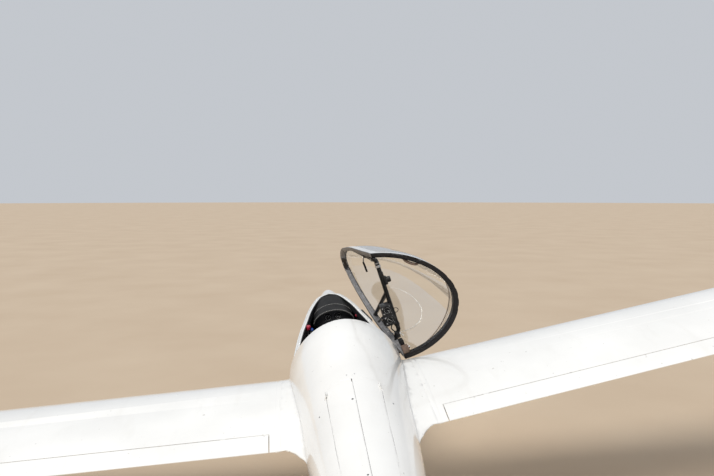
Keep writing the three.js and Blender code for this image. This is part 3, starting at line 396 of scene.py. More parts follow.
def curve_through(line, steps):
    """Points along a Catmull-Rom curve through a line."""
    points = [Vector(point) for point in line]
    padded = [2 * points[0] - points[1], *points, 2 * points[-1] - points[-2]]
    path = []
    for a, b, c, d in zip(padded, padded[1:], padded[2:], padded[3:]):
        for k in range(steps):
            t = k / steps
            path.append(0.5 * (2 * b + (c - a) * t + (2 * a - 5 * b + 4 * c - d) * t * t
                               + (3 * b - a - 3 * c + d) * t ** 3))
    return [*path, points[-1]]


def welded(node):
    """A CAD node's mesh in a fresh bmesh, with its corners joined."""
    bm = bmesh.new()
    bm.from_mesh(nodes[node].data)
    bmesh.ops.remove_doubles(bm, verts=bm.verts, dist=2e-5)
    return bm


def dress(node, material, degrees, bevel=0):
    """A CAD solid with smooth shading and softened edges, in its finish."""
    bm = welded(node)
    bmesh.ops.dissolve_limit(bm, angle_limit=radians(0.5), verts=bm.verts, edges=bm.edges)
    mesh = as_mesh(bm, node + "_dressed", material)
    obj = add_object(mesh.name, mesh)
    if bevel:
        soften = obj.modifiers.new("soft_edges", "BEVEL")
        soften.width = bevel
        soften.segments = 2
        soften.limit_method = "ANGLE"
        soften.angle_limit = radians(CREASE)
        apply_modifiers(obj)
    shade(obj.data, degrees)
    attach(obj, nodes[node]["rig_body"])
    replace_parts(obj, node)
    return obj


def apply_modifiers(obj):
    """Bakes an object's modifiers into its mesh."""
    bpy.context.view_layer.update()
    baked = bpy.data.meshes.new_from_object(obj.evaluated_get(bpy.context.evaluated_depsgraph_get()))
    obj.modifiers.clear()
    obj.data = baked


def dress_split(node, low, high, share):
    """A CAD solid in two paints, one below and one above a share of its height."""
    obj = dress(node, low, 40)
    bm = bmesh.new()
    bm.from_mesh(obj.data)
    bottom, top = (corner[2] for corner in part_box(node))
    line = vec(0, 0, bottom + share * (top - bottom))
    bmesh.ops.bisect_plane(bm, geom=bm.verts[:] + bm.edges[:] + bm.faces[:], plane_co=line, plane_no=UP)
    for face in bm.faces:
        face.material_index = int(face.calc_center_median().z > line.z)
    bm.to_mesh(obj.data)
    bm.free()
    obj.data.materials.append(high)
    shade(obj.data, 40)


# Fuselage sections as in part.mjs: y, half width, top, bottom, height of the greatest width.
SECTIONS = np.array([
    [2982, 12, -118, -160, -140],
    [2950, 42, -88, -196, -141],
    [2880, 70, -60, -232, -142],
    [2760, 97, -38, -268, -142],
    [2600, 121, -20, -304, -140],
    [2450, 138, -2, -334, -134],
    [2300, 156, 92, -362, -130],
    [2100, 190, 188, -398, -122],
    [1800, 236, 286, -446, -107],
    [1500, 268, 356, -480, -92],
    [1200, 302, 404, -500, -76],
    [900, 326, 434, -512, -60],
    [600, 343, 451, -518, -47],
    [300, 357, 460, -518, -36],
    [0, 369, 464, -512, -30],
    [-250, 360, 453, -496, -26],
    [-500, 336, 410, -464, -24],
    [-750, 304, 350, -420, -22],
    [-1000, 280, 292, -362, -20],
    [-1350, 246, 230, -272, -16],
    [-1750, 196, 180, -200, -12],
    [-2250, 150, 138, -158, -10],
    [-2700, 135, 106, -154, -24],
    [-3400, 119, 56, -168, -56],
    [-4200, 104, 2, -186, -92],
    [-4900, 92, -38, -204, -121],
    [-5246, 84, -58, -222, -140],
], float)[::-1] / 1000
POWER_UP = 1.9
POWER_DOWN = 2.15

# Sizes from part.mjs: shells, cockpit opening and places, canopy, fillets, wheel bay, engine doors.
WALL = 0.012
DOOR_WALL = 0.006
GLASS_WALL = 0.005
FRAME_DEPTH = 0.03
SILL_RISE = 0.045
SILL_FRONT = 2.45
SILL_POWER = 3.3
HINGES = (0.18, 0.64)
HINGE_ARM_HALF, HINGE_ARM_REACH = 0.06, 0.026
RAIL_START, RAIL_HEIGHT = 0.03, 0.04
REAR_PANEL_FACE, PANEL_FACE = 0.3048, 1.7352
HIPS = {"front": 1.24, "rear": 0.43}
LEVERS = {"front": 1.58, "rear": 0.73}
STICKS = {"front": 1.64, "rear": 0.85}
FILLET_HALF = 0.412
FILLET_PASSES = 12
COCKPIT_REAR = -0.5
BAY_HALF = 0.135
BAY_REAR, BAY_FRONT, BAY_TOP = -0.28, 0.24, -0.25
DOOR_FRONT, DOOR_REAR = -0.88, -2.16
DOOR_FRONT_HALF, DOOR_REAR_HALF = 0.138, 0.098
BRACE = vec(0, 0.33, 0.1042)
BRACE_END = vec(0.255, 0, 0)
RAKE = radians(31.5)
ARCH_UP = vec(0, cos(RAKE), sin(RAKE))


def slopes_of(stations, values):
    """Slopes at the stations that keep a curve through them from overshooting."""
    steps = np.diff(stations)
    rises = np.diff(values) / steps
    slopes = np.zeros(len(stations))
    same = rises[:-1] * rises[1:] > 0
    left, right_side = steps[1:] + 2 * steps[:-1], 2 * steps[1:] + steps[:-1]
    safe = np.where(same, rises[:-1] * rises[1:], 1)
    middle = (left + right_side) * safe / (left * rises[1:] + right_side * rises[:-1] + (~same) * 1e9)
    slopes[1:-1] = np.where(same, middle, 0)
    slopes[0], slopes[-1] = rises[0], rises[-1]
    return slopes


SLOPES = [slopes_of(SECTIONS[:, 0], SECTIONS[:, column]) for column in range(1, 5)]


def smooth_section(y):
    """Half width, top, bottom and middle height at each y, on smooth curves through the table."""
    y = np.clip(y, SECTIONS[0, 0], SECTIONS[-1, 0])
    i = np.clip(np.searchsorted(SECTIONS[:, 0], y) - 1, 0, len(SECTIONS) - 2)
    step = SECTIONS[i + 1, 0] - SECTIONS[i, 0]
    t = (y - SECTIONS[i, 0]) / step
    result = []
    for column, slopes in enumerate(SLOPES, start=1):
        low, high = SECTIONS[i, column], SECTIONS[i + 1, column]
        result.append((2 * t ** 3 - 3 * t ** 2 + 1) * low + (t ** 3 - 2 * t ** 2 + t) * step * slopes[i]
                      + (3 * t ** 2 - 2 * t ** 3) * high + (t ** 3 - t ** 2) * step * slopes[i + 1])
    return result


def straight_section(y):
    """The same on the straight lines that the CAD uses."""
    return [np.interp(y, SECTIONS[:, 0], SECTIONS[:, column]) for column in range(1, 5)]


def section_scale(points, section, inset):
    """How far each point must be scaled about its section's middle to lie on the skin."""
    half, top, bottom, middle = section(points[:, 1])
    rise = points[:, 2] - middle
    upper = rise > 0
    reach = np.where(upper, top - middle, middle - bottom) - inset
    power = np.where(upper, POWER_UP, POWER_DOWN)
    x = np.abs(points[:, 0]) / np.maximum(half - inset, 0.003)
    z = np.abs(rise) / np.maximum(reach, 0.003)
    return np.maximum(x ** power + z ** power, 1e-9) ** (-1 / power), middle


def skin_offset(points, section, inset=0):
    """How far each point lies inside a skin, along the line from its section's middle."""
    scale, middle = section_scale(points, section, inset)
    return (scale - 1) * np.hypot(points[:, 0], points[:, 2] - middle)


def skin_normals(points, inset):
    """Outward normals of the smooth skin near the points."""
    def height(at):
        return 1 / section_scale(at, smooth_section, inset)[0]

    step = 1e-4
    base = height(points)
    gradient = np.stack([height(points + step * np.eye(3)[axis]) - base for axis in range(3)], axis=1)
    return gradient / np.maximum(np.linalg.norm(gradient, axis=1, keepdims=True), 1e-12)


def sill_height(y):
    """Height of the cockpit sill."""
    return SILL_RISE * max(1 - y / SILL_FRONT, 0) ** SILL_POWER


def half_at(y, z, inset=0.0):
    """Half width of the smooth body at a height, below its skin by an inset."""
    half, top, bottom, middle = smooth_section(y)
    power, reach = (POWER_UP, top - middle) if z > middle else (POWER_DOWN, middle - bottom)
    return float((half - inset) * max(1 - (abs(z - middle) / (reach - inset)) ** power, 0) ** (1 / power))


def top_at(x, y, inset=0.0):
    """Height of the smooth body's upper skin."""
    half, top, _, middle = smooth_section(y)
    share = max(1 - (abs(x) / (half - inset)) ** POWER_UP, 0) ** (1 / POWER_UP)
    return float(middle + (top - inset - middle) * share)


def on_top(x, y, inset=0.0):
    return vec(x, y, top_at(x, y, inset))


def top_normal(x, y):
    return Vector(skin_normals(np.array([on_top(x, y)]), 0)[0])


def split_long_edges(bm, longest):
    """Cuts a mesh's triangles until no edge is longer."""
    for _ in range(9):
        edges = [edge for edge in bm.edges if edge.calc_length() > longest]
        if not edges:
            break
        bmesh.ops.subdivide_edges(bm, edges=edges, cuts=1)
        bmesh.ops.triangulate(bm, faces=[face for face in bm.faces if len(face.verts) > 3])


def round_skin(node, material, insets, longest, near, place=LEVEL, soften=None, lining=(), keep=None):
    """A CAD shell with its facets drawn out to the smooth body skin that they stand for.

    insets are the depths of its skins, the outer one first. No edge stays longer than longest, and points
    within near of a skin go onto it, after soften. lining gives other materials, each with the test that
    picks its faces. keep is a test for points that stay.
    """
    bm = welded(node)
    bm.transform(place.inverted())
    bmesh.ops.triangulate(bm, faces=bm.faces[:])
    split_long_edges(bm, longest)
    if soften:
        soften(bm)
    points = np.array([vertex.co for vertex in bm.verts], float)
    bm.normal_update()
    facing = np.sum(skin_normals(points, 0) * np.array([vertex.normal for vertex in bm.verts], float), axis=1)
    # Two skins that are close together are told apart by the side that a point faces.
    thin = insets[-1] and insets[-1] < 2 * near
    on_skin = np.full(len(points), -1)
    best = np.full(len(points), near)
    for level, inset in enumerate(insets):
        off = np.abs(skin_offset(points, straight_section, inset))
        closer = off < best
        if thin:
            closer &= (facing > 0) == (level == 0)
        on_skin[closer] = level
        best = np.where(closer, off, best)
    if keep:
        on_skin[[keep(point) for point in points]] = -1
    normals = np.zeros_like(points)
    for level, inset in enumerate(insets):
        chosen = on_skin == level
        if not chosen.any():
            continue
        scale, middle = section_scale(points[chosen], smooth_section, inset)
        points[chosen, 0] *= scale
        points[chosen, 2] = middle + (points[chosen, 2] - middle) * scale
        normals[chosen] = skin_normals(points[chosen], inset) * (-1 if level else 1)
    for vertex, point in zip(bm.verts, points):
        vertex.co = point
    bm.normal_update()
    for index, (_, test) in enumerate(lining, start=1):
        for face in bm.faces:
            if test(face):
                face.material_index = index
    loops = []
    bm.verts.index_update()
    for face in bm.faces:
        for normal in (normals[vertex.index] for vertex in face.verts):
            loops.append(tuple(normal) if np.dot(normal, face.normal) > 0.9 else (0, 0, 0))
    mesh = as_mesh(bm, node + "_skin", material, *(other for other, _ in lining))
    shade(mesh, 32)
    mesh.normals_split_custom_set(loops)
    obj = settle(mesh.name, mesh, nodes[node]["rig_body"], place)
    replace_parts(obj, node)
    return obj


def soften_fillets(bm):
    """Rounds the creases of the wing fillets, between the body skin and the wing's root rib."""
    points = np.array([vertex.co for vertex in bm.verts], float)
    in_fillet = (skin_offset(points, straight_section) < -0.004) & (np.abs(points[:, 0]) < FILLET_HALF)
    loose = [vertex for vertex, chosen in zip(bm.verts, in_fillet) if chosen]
    for _ in range(FILLET_PASSES):
        bmesh.ops.smooth_vert(bm, verts=loose, factor=0.5, use_axis_x=True, use_axis_y=True, use_axis_z=True)


def is_cockpit(face):
    """True for the fuselage's faces that look into the cockpit."""
    centre = face.calc_center_median()
    depth = skin_offset(np.array([centre]), smooth_section)[0]
    in_bay = abs(centre.x) < BAY_HALF and BAY_REAR < centre.y < BAY_FRONT and centre.z < BAY_TOP
    on_rim = depth < WALL + 0.0005 and centre.z > -0.02 and max(face.normal.z, face.normal.dot(ARCH_UP)) > 0.9
    return depth > 0.0075 and centre.y > COCKPIT_REAR and not in_bay and not on_rim


def is_outside(face):
    """True for the canopy frame's faces on the body skin, which are painted like the body."""
    point = np.array([face.calc_center_median()])
    return float(skin_normals(point, 0)[0] @ np.array(face.normal)) > 0.75


def at_hinge(point):
    """True for points of the canopy's hinge arms, which stay as they are."""
    x, y, z = point
    beside = any(abs(y - place) < HINGE_ARM_HALF for place in HINGES)
    return beside and hypot(x + y * tan(HINGE_TOE) - HINGE.x, z - HINGE.z) < HINGE_ARM_REACH


def is_rail_foot(face):
    """True for the canopy frame's lower and inner faces along the sills."""
    centre = face.calc_center_median()
    low = centre.z < sill_height(centre.y) + RAIL_HEIGHT
    inner = low and face.normal.x * centre.x < -0.6 * abs(centre.x)
    return centre.y > RAIL_START and (face.normal.z < -0.8 or inner)


# Airframe
round_skin("fuselage", GELCOAT, (0, WALL), 0.045, 0.0032, soften=soften_fillets,
           lining=[(LINING, is_cockpit)])
for side in ("right", "left"):
    round_skin(f"engine_door_{side}", GELCOAT, (0, DOOR_WALL), 0.03, 0.0022)
round_skin("tail_boom", GELCOAT, (0,), 0.06, 0.002)
for side in ("right", "left"):
    for node in ("wing", "flap", "aileron"):
        dress(f"{node}_{side}", GELCOAT, 40)
    dress(f"airbrake_upper_{side}", GELCOAT, 30)
    dress(f"airbrake_lower_{side}", ALLOY, 30)
    dress_split(f"winglet_{side}", GELCOAT, TIP_RED, 0.42)
    dress(f"tip_skid_{side}", SKID, 30, 0.002)
    dress(f"console_{side}", CARBON, 30, 0.002)
    dress(f"gear_door_{side}", GELCOAT, 30, 0.001)
for node in ("rudder", "elevator", "tailplane"):
    dress(node, GELCOAT, 40)
for node, material in (("engine", ENGINE), ("instrument_panel", CARBON), ("rear_panel", CARBON),
                       ("main_axle", STEEL), ("tail_axle", STEEL), ("main_gear_leg", GEAR_GREY),
                       ("tow_hook", STEEL)):
    dress(node, material, 30, 0.002)
for seat in ("front", "rear"):
    dress(f"{seat}_seat", CARBON, 40, 0.002)
    dress(f"{seat}_stick", BLACK, 50)
dress("canopy_brace", BLACK, 60)
for node in ("canopy_hinge_1", "canopy_hinge_2"):
    dress(node, BLACK, 40, 0.001)
round_skin("canopy_frame", SEAL, (0, FRAME_DEPTH), 0.03, 0.0022, OPENED, keep=at_hinge,
           lining=[(GELCOAT, is_outside), (RAIL_GREY, is_rail_foot)])
glass = round_skin("canopy_glass", GLASS, (0, GLASS_WALL), 0.04, 0.0034, OPENED)
glass.visible_shadow = False
for node in ("main_rim", "tail_rim"):
    dress(node, ALLOY, 30)


# Cockpit rim
OPENING_TIP = 2.446
ARCH_TOP = 0.4535


def sill_line():
    """The sill from the right rear corner round the nose to the left one."""
    stations = [OPENING_TIP * (1 - (1 - k / 44) ** 2) for k in range(45)]
    right_side = [vec(half_at(y, sill_height(y)), y, sill_height(y)) for y in stations]
    return right_side + [vec(-p.x, p.y, p.z) for p in reversed(right_side[:-1])]


def arch_line(low, high, place, inset=0.0, start=0.0):
    """A line over the body from left to right, from one height up to another, with y given by height."""
    line = []
    for k in range(61):
        angle = pi * (start + (1 - 2 * start) * k / 60)
        z = low + (high - low) * sin(angle)
        y = place(z)
        line.append(vec(copysign(half_at(y, z, inset), -cos(angle)), y, z))
    return line


def raked(z):
    """Where the rear arch's plane lies at a height."""
    return -(z - SILL_RISE) * tan(RAKE)


LIP = [(0.0112, -0.0006), (0.0275, -0.0006), (0.0295, -0.0026), (0.0295, -0.013), (0.0112, -0.013)]
RIM_BEAD = [(0.0325 + 0.0042 * cos(tau * k / 10), -0.0052 + 0.0042 * sin(tau * k / 10)) for k in range(10)]
SKIRT = [(0.03, -0.009), (0.034, -0.009), (0.032, -0.07), (0.028, -0.07)]
rim = Kit()
for line, up in ((sill_line(), UP), (arch_line(SILL_RISE, ARCH_TOP, raked), ARCH_UP)):
    for profile, material in ((LIP, GELCOAT), (RIM_BEAD, SEAL), (SKIRT, LINING)):
        rim.strip(line, [up] * len(line), profile, material)
rim.piece("cockpit_rim", "airframe")

buffers = Kit()
for y in (1.27, 1.4, 1.53):
    x = half_at(y, -0.012)
    lean = atan2(half_at(y - 0.06, -0.012) - half_at(y + 0.06, -0.012), 0.12)
    turn = Matrix.Rotation(lean, 3, "Z")
    buffers.box((x - 0.004, y - 0.058, -0.03), (x + 0.012, y + 0.058, 0.004), BLACK, 0.004, turn)
    for shift in (-0.035, 0.035):
        centre = vec(x, y, -0.013) + turn @ vec(0.011, shift, 0)
        buffers.disc(0.0055, 0.0025, centre, turn @ ACROSS, STEEL, 16)
buffers.piece("rim_buffers", "airframe")

# Cockpit controls along the walls
controls = Kit()


def knob(kit, base, tip, radius, material):
    """A steel lever from its base to a rounded grip at its tip."""
    base, tip = Vector(base), Vector(tip)
    along = (tip - base).normalized()
    kit.tube([base, tip], 0.0045, STEEL, 10, 0)
    profile = [(0.0001, -1.2), (0.7, -1.15), (0.95, -0.6), (1, 0), (0.92, 0.5), (0.6, 0.88), (0.0001, 1)]
    kit.lathe([(radius * r if r > 0.001 else r, radius * z) for r, z in profile], tip, along, material, 20)


knob(controls, (-0.25, 1.35, -0.08), (-0.227, 1.35, -0.012), 0.02, RED_KNOB)
for seat, place in LEVERS.items():
    hip = HIPS[seat]
    wall = half_at(place, -0.12) - 0.018
    for x, y, z, grip_x, grip_y, grip_z, radius, material in (
            (-wall, -0.05, -0.15, -wall + 0.035, 0.02, -0.11, 0.016, BLUE_KNOB),
            (-wall, -0.22, -0.16, -wall + 0.03, -0.19, -0.09, 0.014, BLACK),
            (-wall + 0.02, 0.14, -0.2, -wall + 0.045, 0.15, -0.17, 0.012, GREEN_KNOB),
            (wall, 0.1, -0.1, wall - 0.03, 0.11, -0.07, 0.013, RED_KNOB)):
        knob(controls, (x, place + y, z), (grip_x, place + grip_y, grip_z), radius, material)
    for side in (-1, 1):
        x = side * (half_at(place, -0.13) - 0.0165)
        controls.box((x - 0.004, place - 0.17, -0.155), (x + 0.004, place + 0.12, -0.135), RAIL_GREY, 0.002)
    controls.tube([(wall - 0.01, hip - 0.1, -0.05), (wall - 0.012, hip + 0.2, -0.075),
                   (wall - 0.006, hip + 0.42, -0.06)], 0.006, BLACK)
knob(controls, (-0.03, 1.72, -0.27), (-0.03, 1.675, -0.27), 0.013, YELLOW_KNOB)
controls.piece("cockpit_controls", "airframe")


# Instruments
def dial(kit, centre, facing, radius, hands):
    """A round gauge: bezel, face with tick marks, and hands given as (angle, length)."""
    facing = Vector(facing).normalized()
    turn = UP.rotation_difference(facing).to_matrix()
    bezel = ((0.82, 0), (1, 0), (1, 0.005), (0.93, 0.0075), (0.84, 0.006))
    kit.lathe([(radius * share, depth) for share, depth in bezel], centre, facing, BLACK, 36)
    kit.disc(radius * 0.83, 0.0022, centre, facing, LINING, 32)

    marks = [(tau * k / 24, 0.7, 0.09 if k % 2 else 0.16, 0.04, 0.0024, 0.0004) for k in range(24)]
    marks += [(angle, length / 2, length, 0.06, 0.0032, 0.0006) for angle, length in hands]
    for angle, middle, length, width, lift, thickness in marks:
        way = turn @ vec(sin(angle), cos(angle), 0)
        reaches = (middle - length / 2, middle + length / 2)
        ends = [Vector(centre) + radius * reach * way + lift * facing for reach in reaches]
        kit.band(ends, facing.cross(way), radius * width, thickness, WHITE)
    kit.disc(radius * 0.08, 0.004, centre, facing, BLACK, 16)
    for corner in range(4):
        angle = tau * (corner + 0.5) / 4
        spot = Vector(centre) + radius * 1.14 * (turn @ vec(cos(angle), sin(angle), 0))
        kit.disc(0.0032, 0.002, spot, facing, STEEL, 12)


panel = Kit()
for x, z, radius, hands in (
        (-0.046, -0.06, 0.034, [(0.6, 0.62)]), (0.046, -0.06, 0.034, [(2.3, 0.62), (4.4, 0.4)]),
        (-0.13, -0.15, 0.026, [(3.6, 0.6)]), (-0.062, -0.148, 0.034, [(5.4, 0.6)]),
        (0.03, -0.148, 0.034, [(4.7, 0.62)]), (-0.04, -0.235, 0.026, [(1, 0.6)]),
        (0.036, -0.235, 0.026, [(2.7, 0.6)])):
    dial(panel, (x, PANEL_FACE, z), (0, -1, 0), radius, hands)
for x in (-0.045, 0, 0.045):
    panel.disc(0.009, 0.014, (x, PANEL_FACE, -0.33), (0, -1, 0), BLACK, 20)
    panel.disc(0.003, 0.012, (x, PANEL_FACE, -0.375), (0, -1, 0), STEEL, 12)
panel.box((-0.055, 1.73, -0.31), (0.055, 1.7362, -0.285), LINING, 0.002)
panel.piece("front_instruments", "airframe")

# Stitched cover of the panel's hood
HOOD_FROM, HOOD_TO = 1.6852, 2.2998


def hood_point(y, angle, lift):
    """A point on the hood's cover, kept inside the fuselage wall."""
    z = -0.11 + (0.1215 + lift) * sin(angle)
    x = (0.1845 + lift) * cos(angle)
    limit = half_at(y, z, WALL) - 0.0012
    return vec(max(-limit, min(limit, x)), y, z)


def hood_cover():
    """The leather over the hood: a curved sheet with a rolled rear edge and a slight sag between seams."""
    rings = []
    depths = np.linspace(0, 1, 41)
    for t in depths:
        y = HOOD_FROM + (HOOD_TO - HOOD_FROM) * t
        roll = 0.004 * sin(pi * min(t / 0.03, 1) / 2) - 0.004
        outer, inner = [], []
        for k in range(41):
            angle = pi * (0.006 + 0.988 * k / 40)
            sag = -0.0022 * sin(pi * min(t * 2.4, 1)) ** 2 * (0.5 + 0.5 * cos(angle * 8))
            outer.append(hood_point(y, angle, roll + sag))
            inner.append(hood_point(y, angle, -0.0075))
        rings.append(outer + inner[::-1])
    kit = Kit()
    kit.skin(rings, LEATHER)
    for y, lift in ((HOOD_FROM + 0.016, -0.0002), (HOOD_FROM + 0.24, -0.0006)):
        kit.tube([hood_point(y, pi * (0.03 + 0.94 * k / 40), lift - 0.0004) for k in range(41)], 0.0016,
                 LEATHER, 8, 0)
        for shift in (-0.006, 0.006):
            spots = [hood_point(y + shift, pi * (0.04 + 0.92 * k / 74), 0.0004) for k in range(75)]
            for a, b in zip(spots[::2], spots[1::2]):
                kit.tube([a, a.lerp(b, 0.85)], 0.0011, THREAD, 5, 0)
    cover = kit.piece("panel_hood_cover", "airframe", 50)
    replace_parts(cover, "panel_hood")


hood_cover()


# Seats
SEAT_LINE = [(0.34, -0.352), (0.12, -0.408), (0, -0.4), (-0.075, -0.33), (-0.25, -0.04)]


def pad(name, node, line, half, base, thick, seams, columns):
    """A crowned pad along a line of (y, z): channels across it at seams and along it at columns."""
    path = curve_through([(0, y, z) for y, z in line], 10)
    shares = [2 * j / 36 - 1 for j in range(37)]
    tops, rings = [], []
    for t, (point, along) in zip(np.linspace(0, 1, len(path)), with_tangents(path)):
        up = along.cross(ACROSS)
        wall = half_at(point.y, point.z + up.z * base, WALL) - 0.004
        width = min(half, wall) * (0.955 + 0.045 * abs(2 * t - 1) ** 3)
        ends = max(1 - abs(2 * t - 1) ** 5, 0) ** 0.5
        top, bottom = [], []
        for u in shares:
            crown = max(1 - abs(u) ** 5, 0) ** 0.5 * (0.25 + 0.75 * ends)
            dip = sum(exp(-((t - seam) / 0.022) ** 2) for seam in seams)
            dip += sum(exp(-((u - column) / 0.035) ** 2) for column in columns)
            height = thick * (0.3 + 0.7 * crown * (1 - 0.42 * min(dip, 1)))
            pull = 1 - 0.02 * sin(pi * t)
            top.append(point + vec(width * u * pull, 0, 0) + up * (base + height))
            bottom.append(point + vec(width * u, 0, 0) + up * (base + 0.0004))
        tops.append(top)
        rings.append(top + bottom[::-1])
    kit = Kit()
    kit.skin(rings, CLOTH)
    left, right_edge = [row[0] for row in tops], [row[-1] for row in tops]
    piping = left + tops[-1][1:] + right_edge[-2::-1] + tops[0][-2:0:-1]
    kit.tube([*piping[::2], piping[0]], 0.0028, LEATHER, 8, 1)
    piece = kit.piece(name, "airframe", 60)
    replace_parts(piece, node)


def seat_back(hip, share, lift):
    """A point on the seat back's face, from its foot to its top, lifted off it."""
    low, high = vec(0, -0.075, -0.33), vec(0, -0.25, -0.04)
    normal = (high - low).cross(ACROSS).normalized()
    return low.lerp(high, share) + vec(0, hip, 0) + lift * normal


for seat, hip in HIPS.items():
    cushion = [(hip + y, z) for y, z in SEAT_LINE[:-1]]
    pad(f"{seat}_seat_cushion", f"{seat}_cushion", cushion, half=0.191, base=0.0003, thick=0.0335,
        seams=(0.3, 0.62), columns=(-0.5, 0, 0.5))
    headrest = [(hip - 0.2502, -0.0397), (hip - 0.308, 0.056)]
    pad(f"{seat}_head_pad", f"{seat}_headrest", headrest, half=0.09, base=-0.0155, thick=0.049,
        seams=(), columns=(-0.45, 0.45))

for seat, hip in HIPS.items():
    harness = Kit()
    for side in (-1, 1):
        x = side * 0.068
        shift = vec(x, 0, 0)
        line = [seat_back(hip, 1.0, 0.006), seat_back(hip, 0.8, 0.007), seat_back(hip, 0.5, 0.009),
                seat_back(hip, 0.2, 0.012), vec(0, hip - 0.02, -0.338), vec(0, hip + 0.06, -0.349),
                vec(0, hip + 0.12, -0.353)]
        spread = [vec(-0.5 * x * max(k - 3, 0) / 3, 0, 0) for k in range(len(line))]
        path = curve_through([p + shift + s for p, s in zip(line, spread)], 5)
        harness.band(path, (1, 0, 0), 0.044, 0.0026, WEBBING)
        adjuster = seat_back(hip, 0.62, 0.0115) + shift
        tilt = Matrix.Rotation(atan2(0.29, -0.175), 3, "X")
        harness.box((-0.026, -0.016, -0.003), (0.026, 0.016, 0.003), STEEL, 0.002, tilt, adjuster)
        reach = min(0.17, half_at(hip - 0.03, -0.34, 0.012) - 0.02)
        lap = curve_through([(side * reach, hip - 0.055, -0.318), (side * reach * 0.75, hip, -0.338),
                             (side * 0.07, hip + 0.09, -0.352), (side * 0.02, hip + 0.12, -0.353)], 6)
        harness.band(lap, (0.3 * side, 1, 0), 0.044, 0.0026, WEBBING)
    hub = vec(0, hip + 0.125, -0.352)
    harness.disc(0.031, 0.014, hub, (0, 0.1, 1), STEEL, 36)
    harness.disc(0.022, 0.006, hub + vec(0, 0.001, 0.014), (0, 0.1, 1), RED_KNOB, 28)
    harness.box((-0.02, 0.02, -0.001), (0.02, 0.06, 0.004), WEBBING, 0.001, base=hub)
    harness.piece(f"{seat}_harness", "airframe")

for seat, place in STICKS.items():
    floor_height = min((LEVEL.inverted() @ vertex.co).z for vertex in nodes[f"{seat}_stick"].data.vertices)
    boot = Kit()
    foot = floor_height + 0.012
    ribs = [(0.0001, foot)] + [(0.052 - 0.006 * k + 0.003 * (k % 2), foot + 0.012 * k) for k in range(7)]
    boot.lathe([*ribs, (0.0001, ribs[-1][1])], (0, place, 0), (0, 0, 1), LEATHER, 28)
    boot.piece(f"{seat}_stick_boot", "airframe")


# Canopy fittings, laid out closed
def rail_point(side, y, inset, lift):
    z = sill_height(y) + lift
    return vec(side * (half_at(y, z) - inset), y, z)


canopy = Kit(OPENED)
for side in (-1, 1):
    stations = [0.06 + (2.3 - 0.06) * k / 40 for k in range(41)]
    for inset in (0.0085, 0.0215):
        canopy.band([rail_point(side, y, inset, 0.0048) for y in stations], (1, 0, 0), 0.0035, 0.0012, SEAL)
    canopy.tube([rail_point(side, y, 0.0315, 0.021) for y in stations[::2]], 0.0035, RAIL_GREY, 8, 2)

# Clamps round the brace's tubes, each a split ring with its screw lug
CLAMP_BORE = 0.0142
LEFT_END, RIGHT_END = BRACE - BRACE_END, BRACE + BRACE_END
left_leg = (rail_point(-1, 1.05, 0.024, 0.03) - LEFT_END).normalized()
for centre, axis, radius, width, material in (
        (BRACE - 0.212 * ACROSS, ACROSS, 0.019, 0.016, ALLOY),
        (BRACE - 0.235 * ACROSS, ACROSS, 0.0175, 0.009, STEEL),
        (BRACE + 0.215 * ACROSS, ACROSS, 0.019, 0.014, BLACK),
        (LEFT_END + 0.09 * left_leg, left_leg, 0.0185, 0.014, ALLOY),
        (LEFT_END + 0.3 * left_leg, left_leg, 0.0185, 0.012, BLACK)):
    half = width / 2
    profile = [(CLAMP_BORE, -half), (radius, -half), (radius + 0.001, 0), (radius, half), (CLAMP_BORE, half)]
    canopy.lathe(profile, centre, axis, material, 28)
    lug = axis.orthogonal().normalized() * (radius + 0.003)
    canopy.disc(0.004, 0.012, centre + lug - axis * 0.006, axis, STEEL, 12)

# Turn knob on the cross tube
canopy.tube([BRACE + vec(-0.105, 0, 0.012), BRACE + vec(-0.105, 0, 0.03)], 0.007, STEEL, 12, 0)
canopy.lathe([(0.0001, 0), (0.016, 0), (0.021, 0.006), (0.021, 0.024), (0.017, 0.031), (0.0001, 0.032)],
             BRACE + vec(-0.105, 0, 0.026), (0, -0.2, 1), BLACK, 24)
canopy.box((-0.135, -0.02, 0.008), (-0.075, 0.014, 0.03), BLACK, 0.005, base=BRACE)
canopy.box((-0.17, -0.018, -0.014), (-0.125, 0.016, 0.018), BLACK, 0.005, base=BRACE)

# Latch handle that hangs from the left leg
hang = LEFT_END + left_leg * 0.36
canopy.tube([hang, hang + vec(0.03, 0, -0.012), hang + vec(0.052, 0.01, -0.018)], 0.005, STEEL, 10)
for shift in (0, 0.022):
    grip = hang + vec(0.056, shift, -0.02)
    bar = [grip, grip + vec(0.03, 0, 0.002), grip + vec(0.075, 0.006, 0.004)]
    canopy.tube(bar, 0.0065, BLACK, 12)

# Grab handle on the arch
grab = []
for z, inset in ((0.215, 0.034), (0.225, 0.05), (0.25, 0.058), (0.275, 0.054), (0.288, 0.036)):
    grab.append(vec(inset - half_at(raked(z), z), raked(z), z) + ARCH_UP * 0.022)
canopy.tube(grab, 0.0085, BROWN, 12)

# Rear instruments and the levers round them
for x, radius, hands in ((0.094, 0.029, [(0.7, 0.62)]), (0.164, 0.029, [(3.9, 0.6), (1.2, 0.4)])):
    dial(canopy, (x, REAR_PANEL_FACE, 0.067), (0, -1, 0), radius, hands)
for x in (0.075, 0.114, 0.145, 0.184):
    canopy.disc(0.0045, 0.004, (x, REAR_PANEL_FACE, 0.038), (0, -1, 0), ALLOY, 14)
canopy.box((0.07, 0.318, 0.1015), (0.118, 0.352, 0.1125), ALLOY, 0.003)
canopy.box((0.148, 0.308, 0.018), (0.196, 0.36, 0.033), BLACK, 0.004)
loop = [(0.118 + 0.016 * cos(0.4 * k), 0.33, 0.122 + 0.022 * sin(0.4 * k)) for k in range(17)]
canopy.tube(loop, 0.0022, BLACK, 8, 2)
canopy.tube([(0.13, 0.33, 0.034), (0.138, 0.326, 0.016), (0.15, 0.322, -0.004)], 0.006, BLACK, 12)
